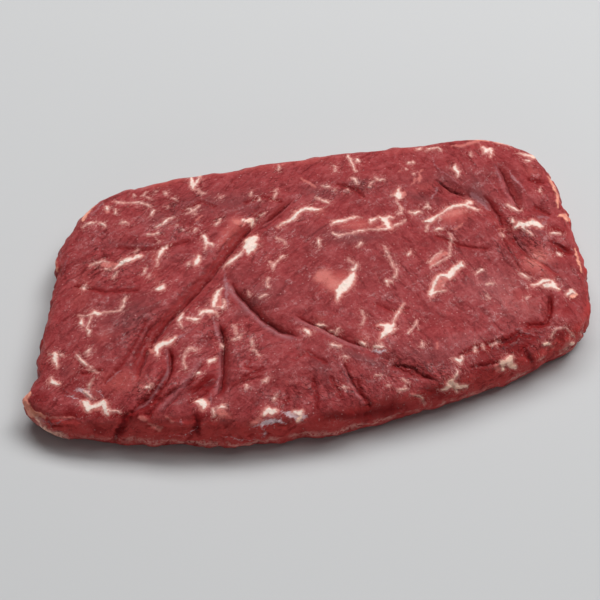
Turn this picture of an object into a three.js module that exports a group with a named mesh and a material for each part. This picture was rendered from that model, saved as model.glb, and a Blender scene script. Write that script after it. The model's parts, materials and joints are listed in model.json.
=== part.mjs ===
import * as THREE from 'three';

// A raw sirloin steak, lying flat. Millimetres, +Z up, origin at the middle of its underside.

// Driving dimensions
const THICKNESS = 20.5;
const RIM_ROUNDING = 8.5;
const FOOT_ROUNDING = 3.2;
const WIDEST_SHARE = 0.42;
const RIM_FULLNESS = 0.78;
const CROWN_DROP = 1.4;
const CROWN_WIDTH = 15;

// Mesh steps: across the cut face, and down the wall above and below its widest line
const STEPS_ALONG = 80;
const STEPS_ACROSS = 46;
const RIM_STEPS = 4;
const FOOT_STEPS = 2;

// The steak's widest outline seen from above, counter-clockwise from the front left corner
const OUTLINE = [
  [-119, -70], [-109.5, -78], [-90, -82.3], [-60, -84], [-29, -84.3], [3, -80.2],
  [33, -72], [60, -62.2], [86, -50.6], [106.4, -39], [118.3, -27], [122.6, -8],
  [120, 22], [116.1, 46], [111.6, 64], [100.6, 77.6], [82, 84.4], [61, 82.6],
  [27, 77.6], [-14, 69.8], [-54, 61], [-80, 54.2], [-99, 42.5], [-109.5, 25],
  [-113.6, 4], [-114.8, -22], [-116.4, -45], [-117.2, -57], [-120, -64.5],
];
const CORNERS = { frontLeft: 0, frontRight: 9, backRight: 15, backLeft: 22 };

// Seams between the muscles. A route runs over the cut face, and left and right are seen along it.
// depth is the groove's, width its half width, rise how far the wall on one side stands above the other,
// wall that wall's width and reach how far the raised muscle slopes away again.
const SEAMS = [
  {
    route: [[-22, 33], [-27.5, 24], [-33.5, 15], [-39, 5], [-44.5, -5], [-50, -14], [-56, -23],
      [-62, -32], [-67, -41], [-70, -50], [-72, -58], [-74, -68]],
    depth: 2.9, width: 1.5, rise: 1.6, raised: 'right', wall: 3.8, reach: 22, ease: 12,
  },
  {
    route: [[-6, 42], [-12, 35.5], [-18, 29], [-24, 24]],
    depth: 1.9, width: 1.3, rise: 0.7, raised: 'right', wall: 2.4, reach: 12, ease: 8,
  },
  {
    route: [[-36, -8], [-33, -14.5], [-29, -19.5], [-24.5, -25.5], [-20, -31], [-14, -35.5], [-4, -40]],
    depth: 2.5, width: 1.5, rise: 1.5, raised: 'left', wall: 3, reach: 18, ease: 9,
  },
  {
    route: [[-9, -27], [0, -32], [8, -37], [16, -42], [25, -47], [34, -53], [43, -58.5], [55, -63]],
    depth: 1.1, width: 1.2, rise: 1.0, raised: 'left', wall: 2.6, reach: 20, ease: 9,
  },
  {
    route: [[-62, -43], [-60, -50], [-59.5, -58], [-62, -65.5], [-66, -72], [-73, -78]],
    depth: 2.5, width: 1.6, rise: 1.2, raised: 'left', wall: 2.8, reach: 9, ease: 8,
  },
  {
    route: [[-46.5, -50], [-49.5, -58], [-54, -66], [-59, -73], [-64, -80]],
    depth: 1.9, width: 1.4, rise: 0.9, raised: 'left', wall: 2.6, reach: 8, ease: 8,
  },
  {
    route: [[-41, -30], [-38.5, -38], [-37.5, -47], [-37, -56], [-37.5, -65], [-40, -72]],
    depth: 2.7, width: 1.6, rise: 1.5, raised: 'left', wall: 2.8, reach: 15, ease: 8,
  },
  {
    route: [[-42, -59], [-46, -66], [-52, -73]],
    depth: 2.2, width: 2.2, rise: 0, raised: 'left', wall: 3, reach: 8, ease: 5,
  },
  {
    route: [[-36, -69], [-29, -63.5], [-18, -59]],
    depth: 0.7, width: 1.8, rise: 0.6, raised: 'left', wall: 3.2, reach: 9, ease: 6,
  },
  {
    route: [[12, -50], [15, -59], [19, -67], [25, -77]],
    depth: 0.7, width: 1.2, rise: 0.6, raised: 'left', wall: 2.4, reach: 9, ease: 7,
  },
  {
    route: [[56, 55], [65, 48], [74, 43.5], [81, 36], [85.5, 27], [88, 17], [92, 8], [98, 0]],
    depth: 2.5, width: 2.3, rise: 1.3, raised: 'right', wall: 4.4, reach: 16, ease: 10,
  },
  {
    route: [[86, 66], [89, 54], [92.5, 42], [96, 31]],
    depth: 1.4, width: 1.5, rise: 0.9, raised: 'left', wall: 3.4, reach: 9, ease: 8,
  },
  {
    route: [[89, 22], [94, 11.5], [102, 4], [111, -5]],
    depth: 1.6, width: 2.0, rise: 1.3, raised: 'right', wall: 3, reach: 8, ease: 7,
  },
  {
    route: [[103.5, -12], [103, -22], [100, -31]],
    depth: 1.8, width: 2.0, rise: 0.9, raised: 'left', wall: 3, reach: 10, ease: 6,
  },
  {
    route: [[-98, 17], [-84, 13], [-69, 13], [-54, 18]],
    depth: 0.9, width: 3.2, rise: 0, raised: 'left', wall: 4, reach: 8, ease: 12,
  },
  {
    route: [[-98, -9], [-86, -6.5], [-72, -4.5], [-58, 1]],
    depth: 0.6, width: 2.4, rise: 0, raised: 'left', wall: 4, reach: 8, ease: 10,
  },
  {
    route: [[-71, -24], [-75, -33], [-79, -42], [-84, -50]],
    depth: 0.6, width: 1.8, rise: 0.4, raised: 'left', wall: 3, reach: 8, ease: 8,
  },
];

// Broad swells and hollows of the cut face: middle, half lengths along and across, turn in degrees, height
const SWELLS = [
  { at: [22, 4], size: [52, 34], turn: -18, height: 1.1 },
  { at: [-86, -30], size: [26, 40], turn: 12, height: 0.9 },
  { at: [68, 24], size: [17, 13], turn: -35, height: 1.3 },
  { at: [102, 46], size: [9, 20], turn: 12, height: 1.1 },
  { at: [104, 55], size: [5, 5], turn: 0, height: -1.4 },
  { at: [105, 35], size: [6, 4], turn: 0, height: -1.7 },
  { at: [108, 20], size: [8, 6], turn: 20, height: 1.2 },
  { at: [111, 9], size: [5, 4], turn: 0, height: -1.6 },
  { at: [-67, -62], size: [6, 13], turn: 12, height: 1.0 },
  { at: [-54, -57], size: [4, 12], turn: -20, height: 1.0 },
  { at: [-46, -58], size: [4, 10], turn: -22, height: 0.8 },
  { at: [10, -44], size: [16, 3], turn: -32, height: 0.9 },
  { at: [-94, -72], size: [12, 5], turn: -18, height: -1.5 },
  { at: [-104, -66], size: [7, 7], turn: 0, height: -0.9 },
  { at: [70, -58], size: [14, 5], turn: 26, height: -1.2 },
  { at: [0, -66], size: [26, 9], turn: 8, height: -0.9 },
  { at: [112, -20], size: [5, 9], turn: 0, height: -1.2 },
  { at: [-27, 14], size: [5, 6], turn: 0, height: 0.5 },
];

// Slow unevenness of the cut face: wavelength, direction in degrees, phase, height
const WAVES = [
  { length: 96, turn: 20, phase: 0.4, height: 0.45 },
  { length: 61, turn: 105, phase: 2.1, height: 0.35 },
  { length: 37, turn: 62, phase: 4.0, height: 0.28 },
  { length: 24, turn: 148, phase: 1.2, height: 0.2 },
];

// Unevenness of the wall: waves round the outline, how they lean with height, how far they stand out,
// and how many times they swell and fade on the way round
const WALL_WAVES = [
  { count: 17, lean: 0.06, phase: 0.3, out: 0.5, swells: 3 },
  { count: 31, lean: -0.11, phase: 2.4, out: 0.4, swells: 5 },
  { count: 52, lean: 0.17, phase: 4.4, out: 0.35, swells: 7 },
];

// Loose flaps, nubs and nicks of the wall: place on the outline, half width, level, half height, how far out
const FLAPS = [
  { at: [-114.5, 14], width: 7.5, level: 9, height: 5, out: 4.2 },
  { at: [-113.5, -3], width: 5, level: 10, height: 7, out: -1.8 },
  { at: [-105, 36], width: 7, level: 10, height: 5, out: 0.9 },
  { at: [-121, -67.5], width: 5, level: 12, height: 4, out: 1.1 },
  { at: [-117.5, -57], width: 5, level: 11, height: 8, out: -0.9 },
  { at: [-116.5, -38], width: 6, level: 10, height: 7, out: 0.9 },
  { at: [-118, -74], width: 9, level: 5, height: 4, out: -1.2 },
  { at: [-76, -84], width: 5, level: 13, height: 8, out: -2.6 },
  { at: [-38, -85], width: 5, level: 15, height: 6, out: -1.4 },
  { at: [27, -74.5], width: 5, level: 13, height: 6, out: -1.2 },
  { at: [60, -62.5], width: 9, level: 12, height: 5, out: 0.9 },
  { at: [96, -45], width: 8, level: 12, height: 6, out: 0.8 },
  { at: [122, -22], width: 6, level: 12, height: 5, out: 0.9 },
  { at: [116.3, 44], width: 4.5, level: 12, height: 7, out: -1.6 },
  { at: [46, -67.5], width: 4, level: 2, height: 6, out: -1.2 },
  { at: [100, -42.5], width: 4, level: 3, height: 6, out: -1.3 },
  { at: [-6, -82], width: 5, level: 4, height: 6, out: -1.1 },
  { at: [74, 85], width: 9, level: 13, height: 5, out: 0.9 },
];

// Stretch of outline over which the rim's outward direction is averaged, and samples each way
const AVERAGE_STRETCH = 14;
const AVERAGE_SAMPLES = 3;

// How strongly the mesh lines gather at a seam, and from how far, so that its crease is crisp
const GATHER = 0.62;
const GATHER_REACH = 6;

const MEAT_COLOR = 0x9a4248;
const MEAT_ROUGHNESS = 0.42;

const CURVE_STEPS = 80;
const outlineCurve = new THREE.CatmullRomCurve3(
  OUTLINE.map(([x, y]) => new THREE.Vector3(x, y, 0)), true, 'centripetal',
);
outlineCurve.arcLengthDivisions = CURVE_STEPS * OUTLINE.length;

function smoothstep(low, high, value) {
  const share = THREE.MathUtils.clamp((value - low) / (high - low), 0, 1);
  return share * share * (3 - 2 * share);
}

function bell(distance, width) {
  return Math.exp(-((distance / width) ** 2));
}

// Nearest point of a route: signed distance, positive on its left, and the way along and still to go
function nearestOnRoute(route, x, y) {
  let best = { size: Infinity };
  let walked = 0;
  for (let k = 1; k < route.length; k += 1) {
    const [ax, ay] = route[k - 1];
    const [bx, by] = route[k];
    const length = Math.hypot(bx - ax, by - ay);
    const [ux, uy] = [(bx - ax) / length, (by - ay) / length];
    const step = THREE.MathUtils.clamp((x - ax) * ux + (y - ay) * uy, 0, length);
    const [dx, dy] = [x - ax - step * ux, y - ay - step * uy];
    const size = Math.hypot(dx, dy);
    if (size < best.size) {
      const side = ux * dy - uy * dx >= 0 ? 1 : -1;
      best = { size, distance: side * size, along: walked + step, normal: [-uy, ux] };
    }
    walked += length;
  }
  return { ...best, left: walked - best.along };
}

function seamStrength(seam, near) {
  return smoothstep(0, seam.ease, near.along) * smoothstep(0, seam.ease, near.left);
}

function seamHeight(seam, x, y) {
  const near = nearestOnRoute(seam.route, x, y);
  const onRaisedSide = near.distance * (seam.raised === 'left' ? 1 : -1);
  const groove = -seam.depth * bell(near.distance, seam.width);
  const step = seam.rise * smoothstep(0, seam.wall, onRaisedSide) * bell(onRaisedSide, seam.reach);
  return seamStrength(seam, near) * (groove + step);
}

function swellHeight({ at, size, turn, height }, x, y) {
  const angle = THREE.MathUtils.degToRad(turn);
  const [dx, dy] = [x - at[0], y - at[1]];
  const along = dx * Math.cos(angle) + dy * Math.sin(angle);
  const across = dy * Math.cos(angle) - dx * Math.sin(angle);
  return height * bell(along, size[0]) * bell(across, size[1]);
}

function waveHeight({ length, turn, phase, height }, x, y) {
  const angle = THREE.MathUtils.degToRad(turn);
  return height * Math.sin(phase + (2 * Math.PI * (x * Math.cos(angle) + y * Math.sin(angle))) / length);
}

// Height of the cut face; inside is the distance in from the rim's top line
function faceHeight(x, y, inside) {
  let z = THICKNESS - CROWN_DROP * (1 - smoothstep(0, CROWN_WIDTH, inside));
  for (const wave of WAVES) z += waveHeight(wave, x, y);
  for (const swell of SWELLS) z += swellHeight(swell, x, y);
  for (const seam of SEAMS) z += seamHeight(seam, x, y);
  return z;
}

// Moves a point of the cut face toward the seams near it
function gather(x, y, inside) {
  const hold = smoothstep(0, CROWN_WIDTH / 2, inside);
  let [movedX, movedY] = [x, y];
  for (const seam of SEAMS) {
    const near = nearestOnRoute(seam.route, x, y);
    const pull = GATHER * hold * seamStrength(seam, near) * near.distance * bell(near.distance, GATHER_REACH);
    movedX -= pull * near.normal[0];
    movedY -= pull * near.normal[1];
  }
  return [movedX, movedY];
}

// Points round the outline: each side between two corners is split into even steps
function outlineShares() {
  const lengths = outlineCurve.getLengths();
  const corners = [CORNERS.frontLeft, CORNERS.frontRight, CORNERS.backRight, CORNERS.backLeft]
    .map((index) => lengths[index * CURVE_STEPS] / lengths.at(-1));
  const steps = [STEPS_ALONG, STEPS_ACROSS, STEPS_ALONG, STEPS_ACROSS];
  const shares = [];
  steps.forEach((count, side) => {
    const start = corners[side];
    const end = side === 3 ? 1 + corners[0] : corners[side + 1];
    for (let k = 0; k < count; k += 1) shares.push((start + ((end - start) * k) / count) % 1);
  });
  return shares;
}

function outwardAt(share) {
  const tangent = outlineCurve.getTangentAt(share);
  return new THREE.Vector2(tangent.y, -tangent.x);
}

// The outward direction averaged over a stretch of the outline, so that the rim's inner line stays smooth
function smoothOutward(share) {
  const total = new THREE.Vector2();
  const step = AVERAGE_STRETCH / AVERAGE_SAMPLES / outlineCurve.getLength();
  for (let k = -AVERAGE_SAMPLES; k <= AVERAGE_SAMPLES; k += 1) total.add(outwardAt((share + k * step + 1) % 1));
  return total.normalize();
}

function wallOffset(share, x, y, z) {
  let out = 0;
  for (const { count, lean, phase, out: size, swells } of WALL_WAVES) {
    const strength = 0.5 + 0.5 * Math.sin(2 * Math.PI * swells * share + phase);
    out += size * strength * Math.sin(2 * Math.PI * count * share + lean * z + phase);
  }
  for (const { at, width, level, height, out: size } of FLAPS) {
    out += size * bell(Math.hypot(x - at[0], y - at[1]), width) * bell(z - level, height);
  }
  return out;
}

function buildSteak() {
  const positions = [];
  const triangles = [];
  const addPoint = (x, y, z) => positions.push(x, y, z) / 3 - 1;
  const heightOf = (index) => positions[3 * index + 2];
  // Splits a quad along the diagonal that is more level, which keeps a crease sharp
  const addQuad = (a, b, c, d) => {
    if (Math.abs(heightOf(a) - heightOf(c)) <= Math.abs(heightOf(b) - heightOf(d))) {
      triangles.push(a, b, c, a, c, d);
    } else {
      triangles.push(a, b, d, b, c, d);
    }
  };

  const rim = outlineShares().map((share) => {
    const point = outlineCurve.getPointAt(share);
    return { share, point, outward: smoothOutward(share) };
  });
  const around = rim.length;
  const rimTop = rim.map(({ point, outward }) => [
    point.x - RIM_ROUNDING * outward.x, point.y - RIM_ROUNDING * outward.y,
  ]);

  // Cut face: the four stretches of the rim's top line, blended across
  const front = (i) => rimTop[i];
  const right = (j) => rimTop[STEPS_ALONG + j];
  const back = (i) => rimTop[2 * STEPS_ALONG + STEPS_ACROSS - i];
  const left = (j) => rimTop[(around - j) % around];
  const blend = (i, j, axis) => {
    const [u, v] = [i / STEPS_ALONG, j / STEPS_ACROSS];
    const across = (1 - v) * front(i)[axis] + v * back(i)[axis];
    const along = (1 - u) * left(j)[axis] + u * right(j)[axis];
    const corners = (1 - u) * (1 - v) * front(0)[axis] + u * (1 - v) * front(STEPS_ALONG)[axis]
      + (1 - u) * v * back(0)[axis] + u * v * back(STEPS_ALONG)[axis];
    return across + along - corners;
  };
  const insideAt = (x, y) => Math.min(...rimTop.map(([rx, ry]) => Math.hypot(x - rx, y - ry)));
  const face = [];
  for (let j = 0; j <= STEPS_ACROSS; j += 1) {
    face.push([]);
    for (let i = 0; i <= STEPS_ALONG; i += 1) {
      const onRim = i === 0 || j === 0 || i === STEPS_ALONG || j === STEPS_ACROSS;
      const [x, y] = [blend(i, j, 0), blend(i, j, 1)];
      const inside = onRim ? 0 : insideAt(x, y);
      const [gatheredX, gatheredY] = gather(x, y, inside);
      face[j].push(addPoint(gatheredX, gatheredY, faceHeight(gatheredX, gatheredY, inside)));
    }
  }
  for (let j = 0; j < STEPS_ACROSS; j += 1) {
    for (let i = 0; i < STEPS_ALONG; i += 1) {
      addQuad(face[j][i], face[j][i + 1], face[j + 1][i + 1], face[j + 1][i]);
    }
  }

  // Wall: rings from the rim's top line over the widest line to the underside
  const topRing = [];
  for (let i = 0; i < STEPS_ALONG; i += 1) topRing.push(face[0][i]);
  for (let j = 0; j < STEPS_ACROSS; j += 1) topRing.push(face[j][STEPS_ALONG]);
  for (let i = STEPS_ALONG; i > 0; i -= 1) topRing.push(face[STEPS_ACROSS][i]);
  for (let j = STEPS_ACROSS; j > 0; j -= 1) topRing.push(face[j][0]);
  const ringPoint = (index, inset, z) => {
    const { share, point, outward } = rim[index];
    const out = wallOffset(share, point.x, point.y, z) - inset;
    return addPoint(point.x + out * outward.x, point.y + out * outward.y, z);
  };
  const rings = [topRing];
  for (let k = 1; k <= RIM_STEPS + FOOT_STEPS; k += 1) {
    const ring = topRing.map((top, index) => {
      const topZ = heightOf(top);
      const widestZ = WIDEST_SHARE * THICKNESS;
      if (k <= RIM_STEPS) {
        const angle = (Math.PI / 2) * (1 - k / RIM_STEPS);
        const inset = RIM_ROUNDING * (1 - Math.cos(angle) ** RIM_FULLNESS);
        return ringPoint(index, inset, widestZ + (topZ - widestZ) * Math.sin(angle) ** RIM_FULLNESS);
      }
      const angle = (Math.PI / 2) * ((k - RIM_STEPS) / FOOT_STEPS);
      const z = k === RIM_STEPS + FOOT_STEPS ? 0 : widestZ * (1 - Math.sin(angle));
      return ringPoint(index, FOOT_ROUNDING * (1 - Math.cos(angle)), z);
    });
    rings.push(ring);
  }
  for (let k = 1; k < rings.length; k += 1) {
    for (let index = 0; index < around; index += 1) {
      const next = (index + 1) % around;
      addQuad(rings[k][index], rings[k][next], rings[k - 1][next], rings[k - 1][index]);
    }
  }

  // Flat underside
  const footRing = rings[rings.length - 1];
  const contour = footRing.map((at) => new THREE.Vector2(positions[3 * at], positions[3 * at + 1]));
  for (const [a, b, c] of THREE.ShapeUtils.triangulateShape(contour, [])) {
    triangles.push(footRing[a], footRing[c], footRing[b]);
  }

  const geometry = new THREE.BufferGeometry();
  geometry.setAttribute('position', new THREE.Float32BufferAttribute(positions, 3));
  geometry.setIndex(triangles);
  geometry.computeBoundingBox();
  const { min, max } = geometry.boundingBox;
  geometry.translate(-(min.x + max.x) / 2, -(min.y + max.y) / 2, 0);
  geometry.computeVertexNormals();
  return geometry;
}

const steak = new THREE.Mesh(
  buildSteak(),
  new THREE.MeshStandardMaterial({ color: MEAT_COLOR, roughness: MEAT_ROUGHNESS, metalness: 0 }),
);
steak.name = 'steak';

const group = new THREE.Group();
group.add(steak);

export default group;
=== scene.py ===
"""A raw sirloin steak lying flat: its fine surface, fat, film and seams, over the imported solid."""

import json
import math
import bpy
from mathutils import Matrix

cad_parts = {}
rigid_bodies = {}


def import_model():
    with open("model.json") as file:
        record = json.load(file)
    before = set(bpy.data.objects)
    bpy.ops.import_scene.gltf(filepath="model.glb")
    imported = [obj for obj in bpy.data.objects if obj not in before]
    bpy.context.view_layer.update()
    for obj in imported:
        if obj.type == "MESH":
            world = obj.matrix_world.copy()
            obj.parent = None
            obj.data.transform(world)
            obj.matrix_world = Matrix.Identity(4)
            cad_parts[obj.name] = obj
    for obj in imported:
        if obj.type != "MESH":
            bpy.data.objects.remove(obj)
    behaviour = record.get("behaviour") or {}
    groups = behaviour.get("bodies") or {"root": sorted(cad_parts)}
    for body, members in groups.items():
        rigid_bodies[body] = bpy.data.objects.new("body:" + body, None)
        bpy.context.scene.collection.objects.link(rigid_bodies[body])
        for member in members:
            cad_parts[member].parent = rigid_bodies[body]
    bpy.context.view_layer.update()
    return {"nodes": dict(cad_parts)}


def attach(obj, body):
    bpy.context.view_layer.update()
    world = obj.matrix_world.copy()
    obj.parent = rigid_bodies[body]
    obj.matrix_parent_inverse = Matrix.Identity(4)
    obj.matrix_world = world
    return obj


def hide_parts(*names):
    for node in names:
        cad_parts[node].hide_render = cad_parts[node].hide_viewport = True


bl_info = {
    "name": "Raw sirloin steak",
    "version": (1, 0, 0),
    "blender": (4, 5, 0),
    "location": "3D View > Sidebar > Steak",
    "description": "Builds the steak's surface and its finish, and sets the stage",
    "category": "Object",
}

import bmesh
import bpy
import numpy as np
from bpy.props import FloatProperty, FloatVectorProperty, PointerProperty
from mathutils import Vector, noise

for leftover in list(bpy.data.objects):
    bpy.data.objects.remove(leftover)
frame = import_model()

NODE = "steak"
MM = 0.001

# The camera, in millimetres round the middle of the steak's underside
LOOK_AT = (-6.14, -10.22, 10.0)
CAMERA_DISTANCE = 734.0
CAMERA_ELEVATION = math.radians(50.0)
LENS = 100.0

# Marks on the cut face are placed on a plan: the camera's view of it laid out at this height.
# The plan's middle lies this far from the middle of the steak.
PLAN_HEIGHT = 19.0
PLAN_MIDDLE = (-1.14, 0.08)

# The mesh: faces are split within the margins, in mm, of a stroke, and within this many margins of a crack
WELD = 1e-6
CAGE_LEVELS = 1
UNDERSIDE_RINGS = 6
UNDERSIDE_SPINE = ((-62.0, -22.0), (58.0, 12.0))
REFINE_MARGINS = (1.5, 0.35)
REFINE_CRACK = 1.6
HEM_LEVEL = 5.2

# Strokes and seams, in mm: how far a stroke is measured, the half width from which it glows in full,
# how far it glows and its place wanders, how far a seam fades in, and how much wider its film is made
STROKE_REACH = 9.0
BROAD_STROKE = 1.6
GLOW_FADE = 1.5
RAGGED_REACH = 0.6
SEAM_FADE = 6.0
FILM_SPREAD = 1.3
WALL_START = (-0.2, 0.0)
WALL_END = (0.65, 1.05)

# Where a field begins and where it is full: cosines with the line to the camera or the way up, and mm
SHOWN = (-0.05, 0.12)
UPWARD = (0.45, 0.85)
UPRIGHT = (0.25, 0.8)
SLOPING = (0.78, 0.985)
PAINTED_LIGHT_LEDGE = (7.0, 14.0)
RIGHT = (-20.0, 55.0)
RIGHT_SLANT = 0.4
FOOT_EDGE = 0.3
RISE = (0.0, 2.5)

# Noise of the relief as (height, lump size, seed), heights and sizes in millimetres
LUMPS = ((0.22, 9.0, 21), (0.1, 4.2, 22), (0.04, 1.8, 23))
HEM_LUMPS = ((1.2, 9.0, 27), (0.7, 2.4, 28))
SEAM_LUMPS = ((0.45, 5.0, 3), (0.2, 1.6, 4))
RAGGED_EAST = ((1.0, 1.9, 11), (0.5, 0.8, 13))
RAGGED_NORTH = ((1.0, 1.9, 12), (0.5, 0.8, 14))
CRUMPLES = ((1.0, 5.0, 31), (0.4, 2.4, 32))
CRUMPLE_FLOOR = 0.3
# The same with how much flatter the lumps lie, and the width of the crevices
SIDE_FOLDS = ((1.2, 1.6, 7.0, 24), (0.65, 1.4, 3.4, 25))
CREVICES = (-1.2, 1.5, 8.0, 26)
CREVICE_WIDTH = 0.12

# The stage: place and size of each light in metres
LIGHTS = {
    "back": ((0.3, 1.3, 2.0), (3.0, 0.9)),
    "top": ((0.85, 0.4, 1.5), (1.0, 1.0)),
    "front": ((-0.2, -1.7, 0.4), (1.2, 0.5)),
}
FLOOR_HALF = 3.0

# Seams between the muscles: the route on the plan, the width and strength of the dark wall beside it (deep
# red with painted shade), and the pale film, crack and sharp edge along it as (place, width, strength);
# crack and edge are painted dark as shade.
# Places and the wall's width are signed: positive is left of the route.
NO_LINE = (0.0, 1.0, 0.0)
SEAMS = [
    {"route": [(-20, 35), (-24, 30.5), (-27.5, 24), (-33.5, 15), (-39, 5), (-44, -4.5), (-50, -14),
               (-56, -23), (-61.5, -31), (-66, -39), (-69.5, -47), (-71.5, -55), (-73, -64)],
     "wall": -3.6, "dark": 0.72, "film": (-1.5, 0.2, 0.45), "crack": (0.4, 0.42, 0.75),
     "edge": (-3.3, 0.4, 0.6)},
    {"route": [(-7, 41), (-12, 35.5), (-18, 29), (-25, 23)],
     "wall": -2.0, "dark": 0.6, "film": (0.9, 0.3, 0.3), "crack": (0, 0.4, 0.5)},
    {"route": [(-16, 28.5), (-21, 24), (-27, 20)],
     "wall": -1.2, "dark": 0.5, "crack": (0, 0.4, 0.5)},
    {"route": [(-36.5, -8), (-33, -14.5), (-29, -19.5), (-24.5, -25.5), (-20, -31), (-14, -35.5),
               (-4, -40)],
     "wall": 2.6, "dark": 0.78, "film": (-1.2, 0.9, 0.9), "crack": (0.5, 0.45, 0.34)},
    {"route": [(-9, -27), (0, -32), (8, -37), (16, -42), (25, -46.5)],
     "wall": 1.2, "dark": 0.8, "film": (-1.3, 0.7, 0.6), "crack": (0, 0.35, 0.35)},
    {"route": [(32, -52), (38, -56.5), (44, -59.5), (55, -62.5)],
     "wall": 1.4, "dark": 0.7, "crack": (0, 0.4, 0.3)},
    {"route": [(-62, -43), (-60.5, -50), (-60, -58), (-63, -65.5), (-67, -72), (-74, -78)],
     "wall": 3.2, "dark": 1.0, "film": (0, 0.35, 0.7), "crack": (1, 0.5, 0.5)},
    {"route": [(-46.5, -50), (-49.5, -58), (-54, -66), (-59, -73), (-64, -80)],
     "wall": 2.2, "dark": 0.7, "film": (0, 0.75, 0.5), "crack": (1.2, 0.4, 0.6)},
    {"route": [(-41, -30), (-39, -38), (-38.3, -47), (-38, -56), (-38.5, -65), (-40, -72)],
     "wall": 3.6, "dark": 1.0, "film": (-0.4, 0.6, 0.6), "crack": (0.8, 0.5, 0.7)},
    {"route": [(-40, -59), (-46, -66), (-52, -73)],
     "wall": -3.0, "dark": 1.0, "crack": (0, 0.5, 0.3)},
    {"route": [(-36, -69), (-29, -63.5), (-18, -59)],
     "wall": 2.4, "dark": 0.5, "crack": (0, 0.5, 0.3)},
    {"route": [(12, -50), (15, -59), (19, -67), (25, -77)],
     "wall": 1.4, "dark": 0.6, "film": (-1.2, 0.5, 0.4), "crack": (0, 0.35, 0.5)},
    {"route": [(56, 55), (65, 48), (71, 45)],
     "wall": -2.0, "dark": 0.7, "crack": (0, 0.6, 1)},
    {"route": [(78, 46), (81.5, 39), (84.5, 32), (86.5, 22)],
     "wall": 3.0, "dark": 0.8, "crack": (0, 0.5, 0.4)},
    {"route": [(86, 65), (89, 54), (92, 43), (95.5, 30)],
     "wall": 2.4, "dark": 0.4, "film": (-1.6, 0.8, 0.4), "crack": (0, 0.35, 0.4)},
    {"route": [(89, 22), (92, 14), (96, 8), (103, 2.5), (110, -5)],
     "wall": -2.6, "dark": 0.7, "film": (1, 0.5, 0.3), "crack": (0, 0.4, 0.5)},
    {"route": [(85, 19), (87, 11), (90, 4), (92.5, -4)],
     "wall": 1.6, "dark": 0.5, "crack": (0, 0.4, 0.7)},
    {"route": [(103.5, -12), (103, -22), (100.5, -31), (93, -33)],
     "wall": 2.2, "dark": 0.9, "crack": (0, 0.6, 0.4)},
]

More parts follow.
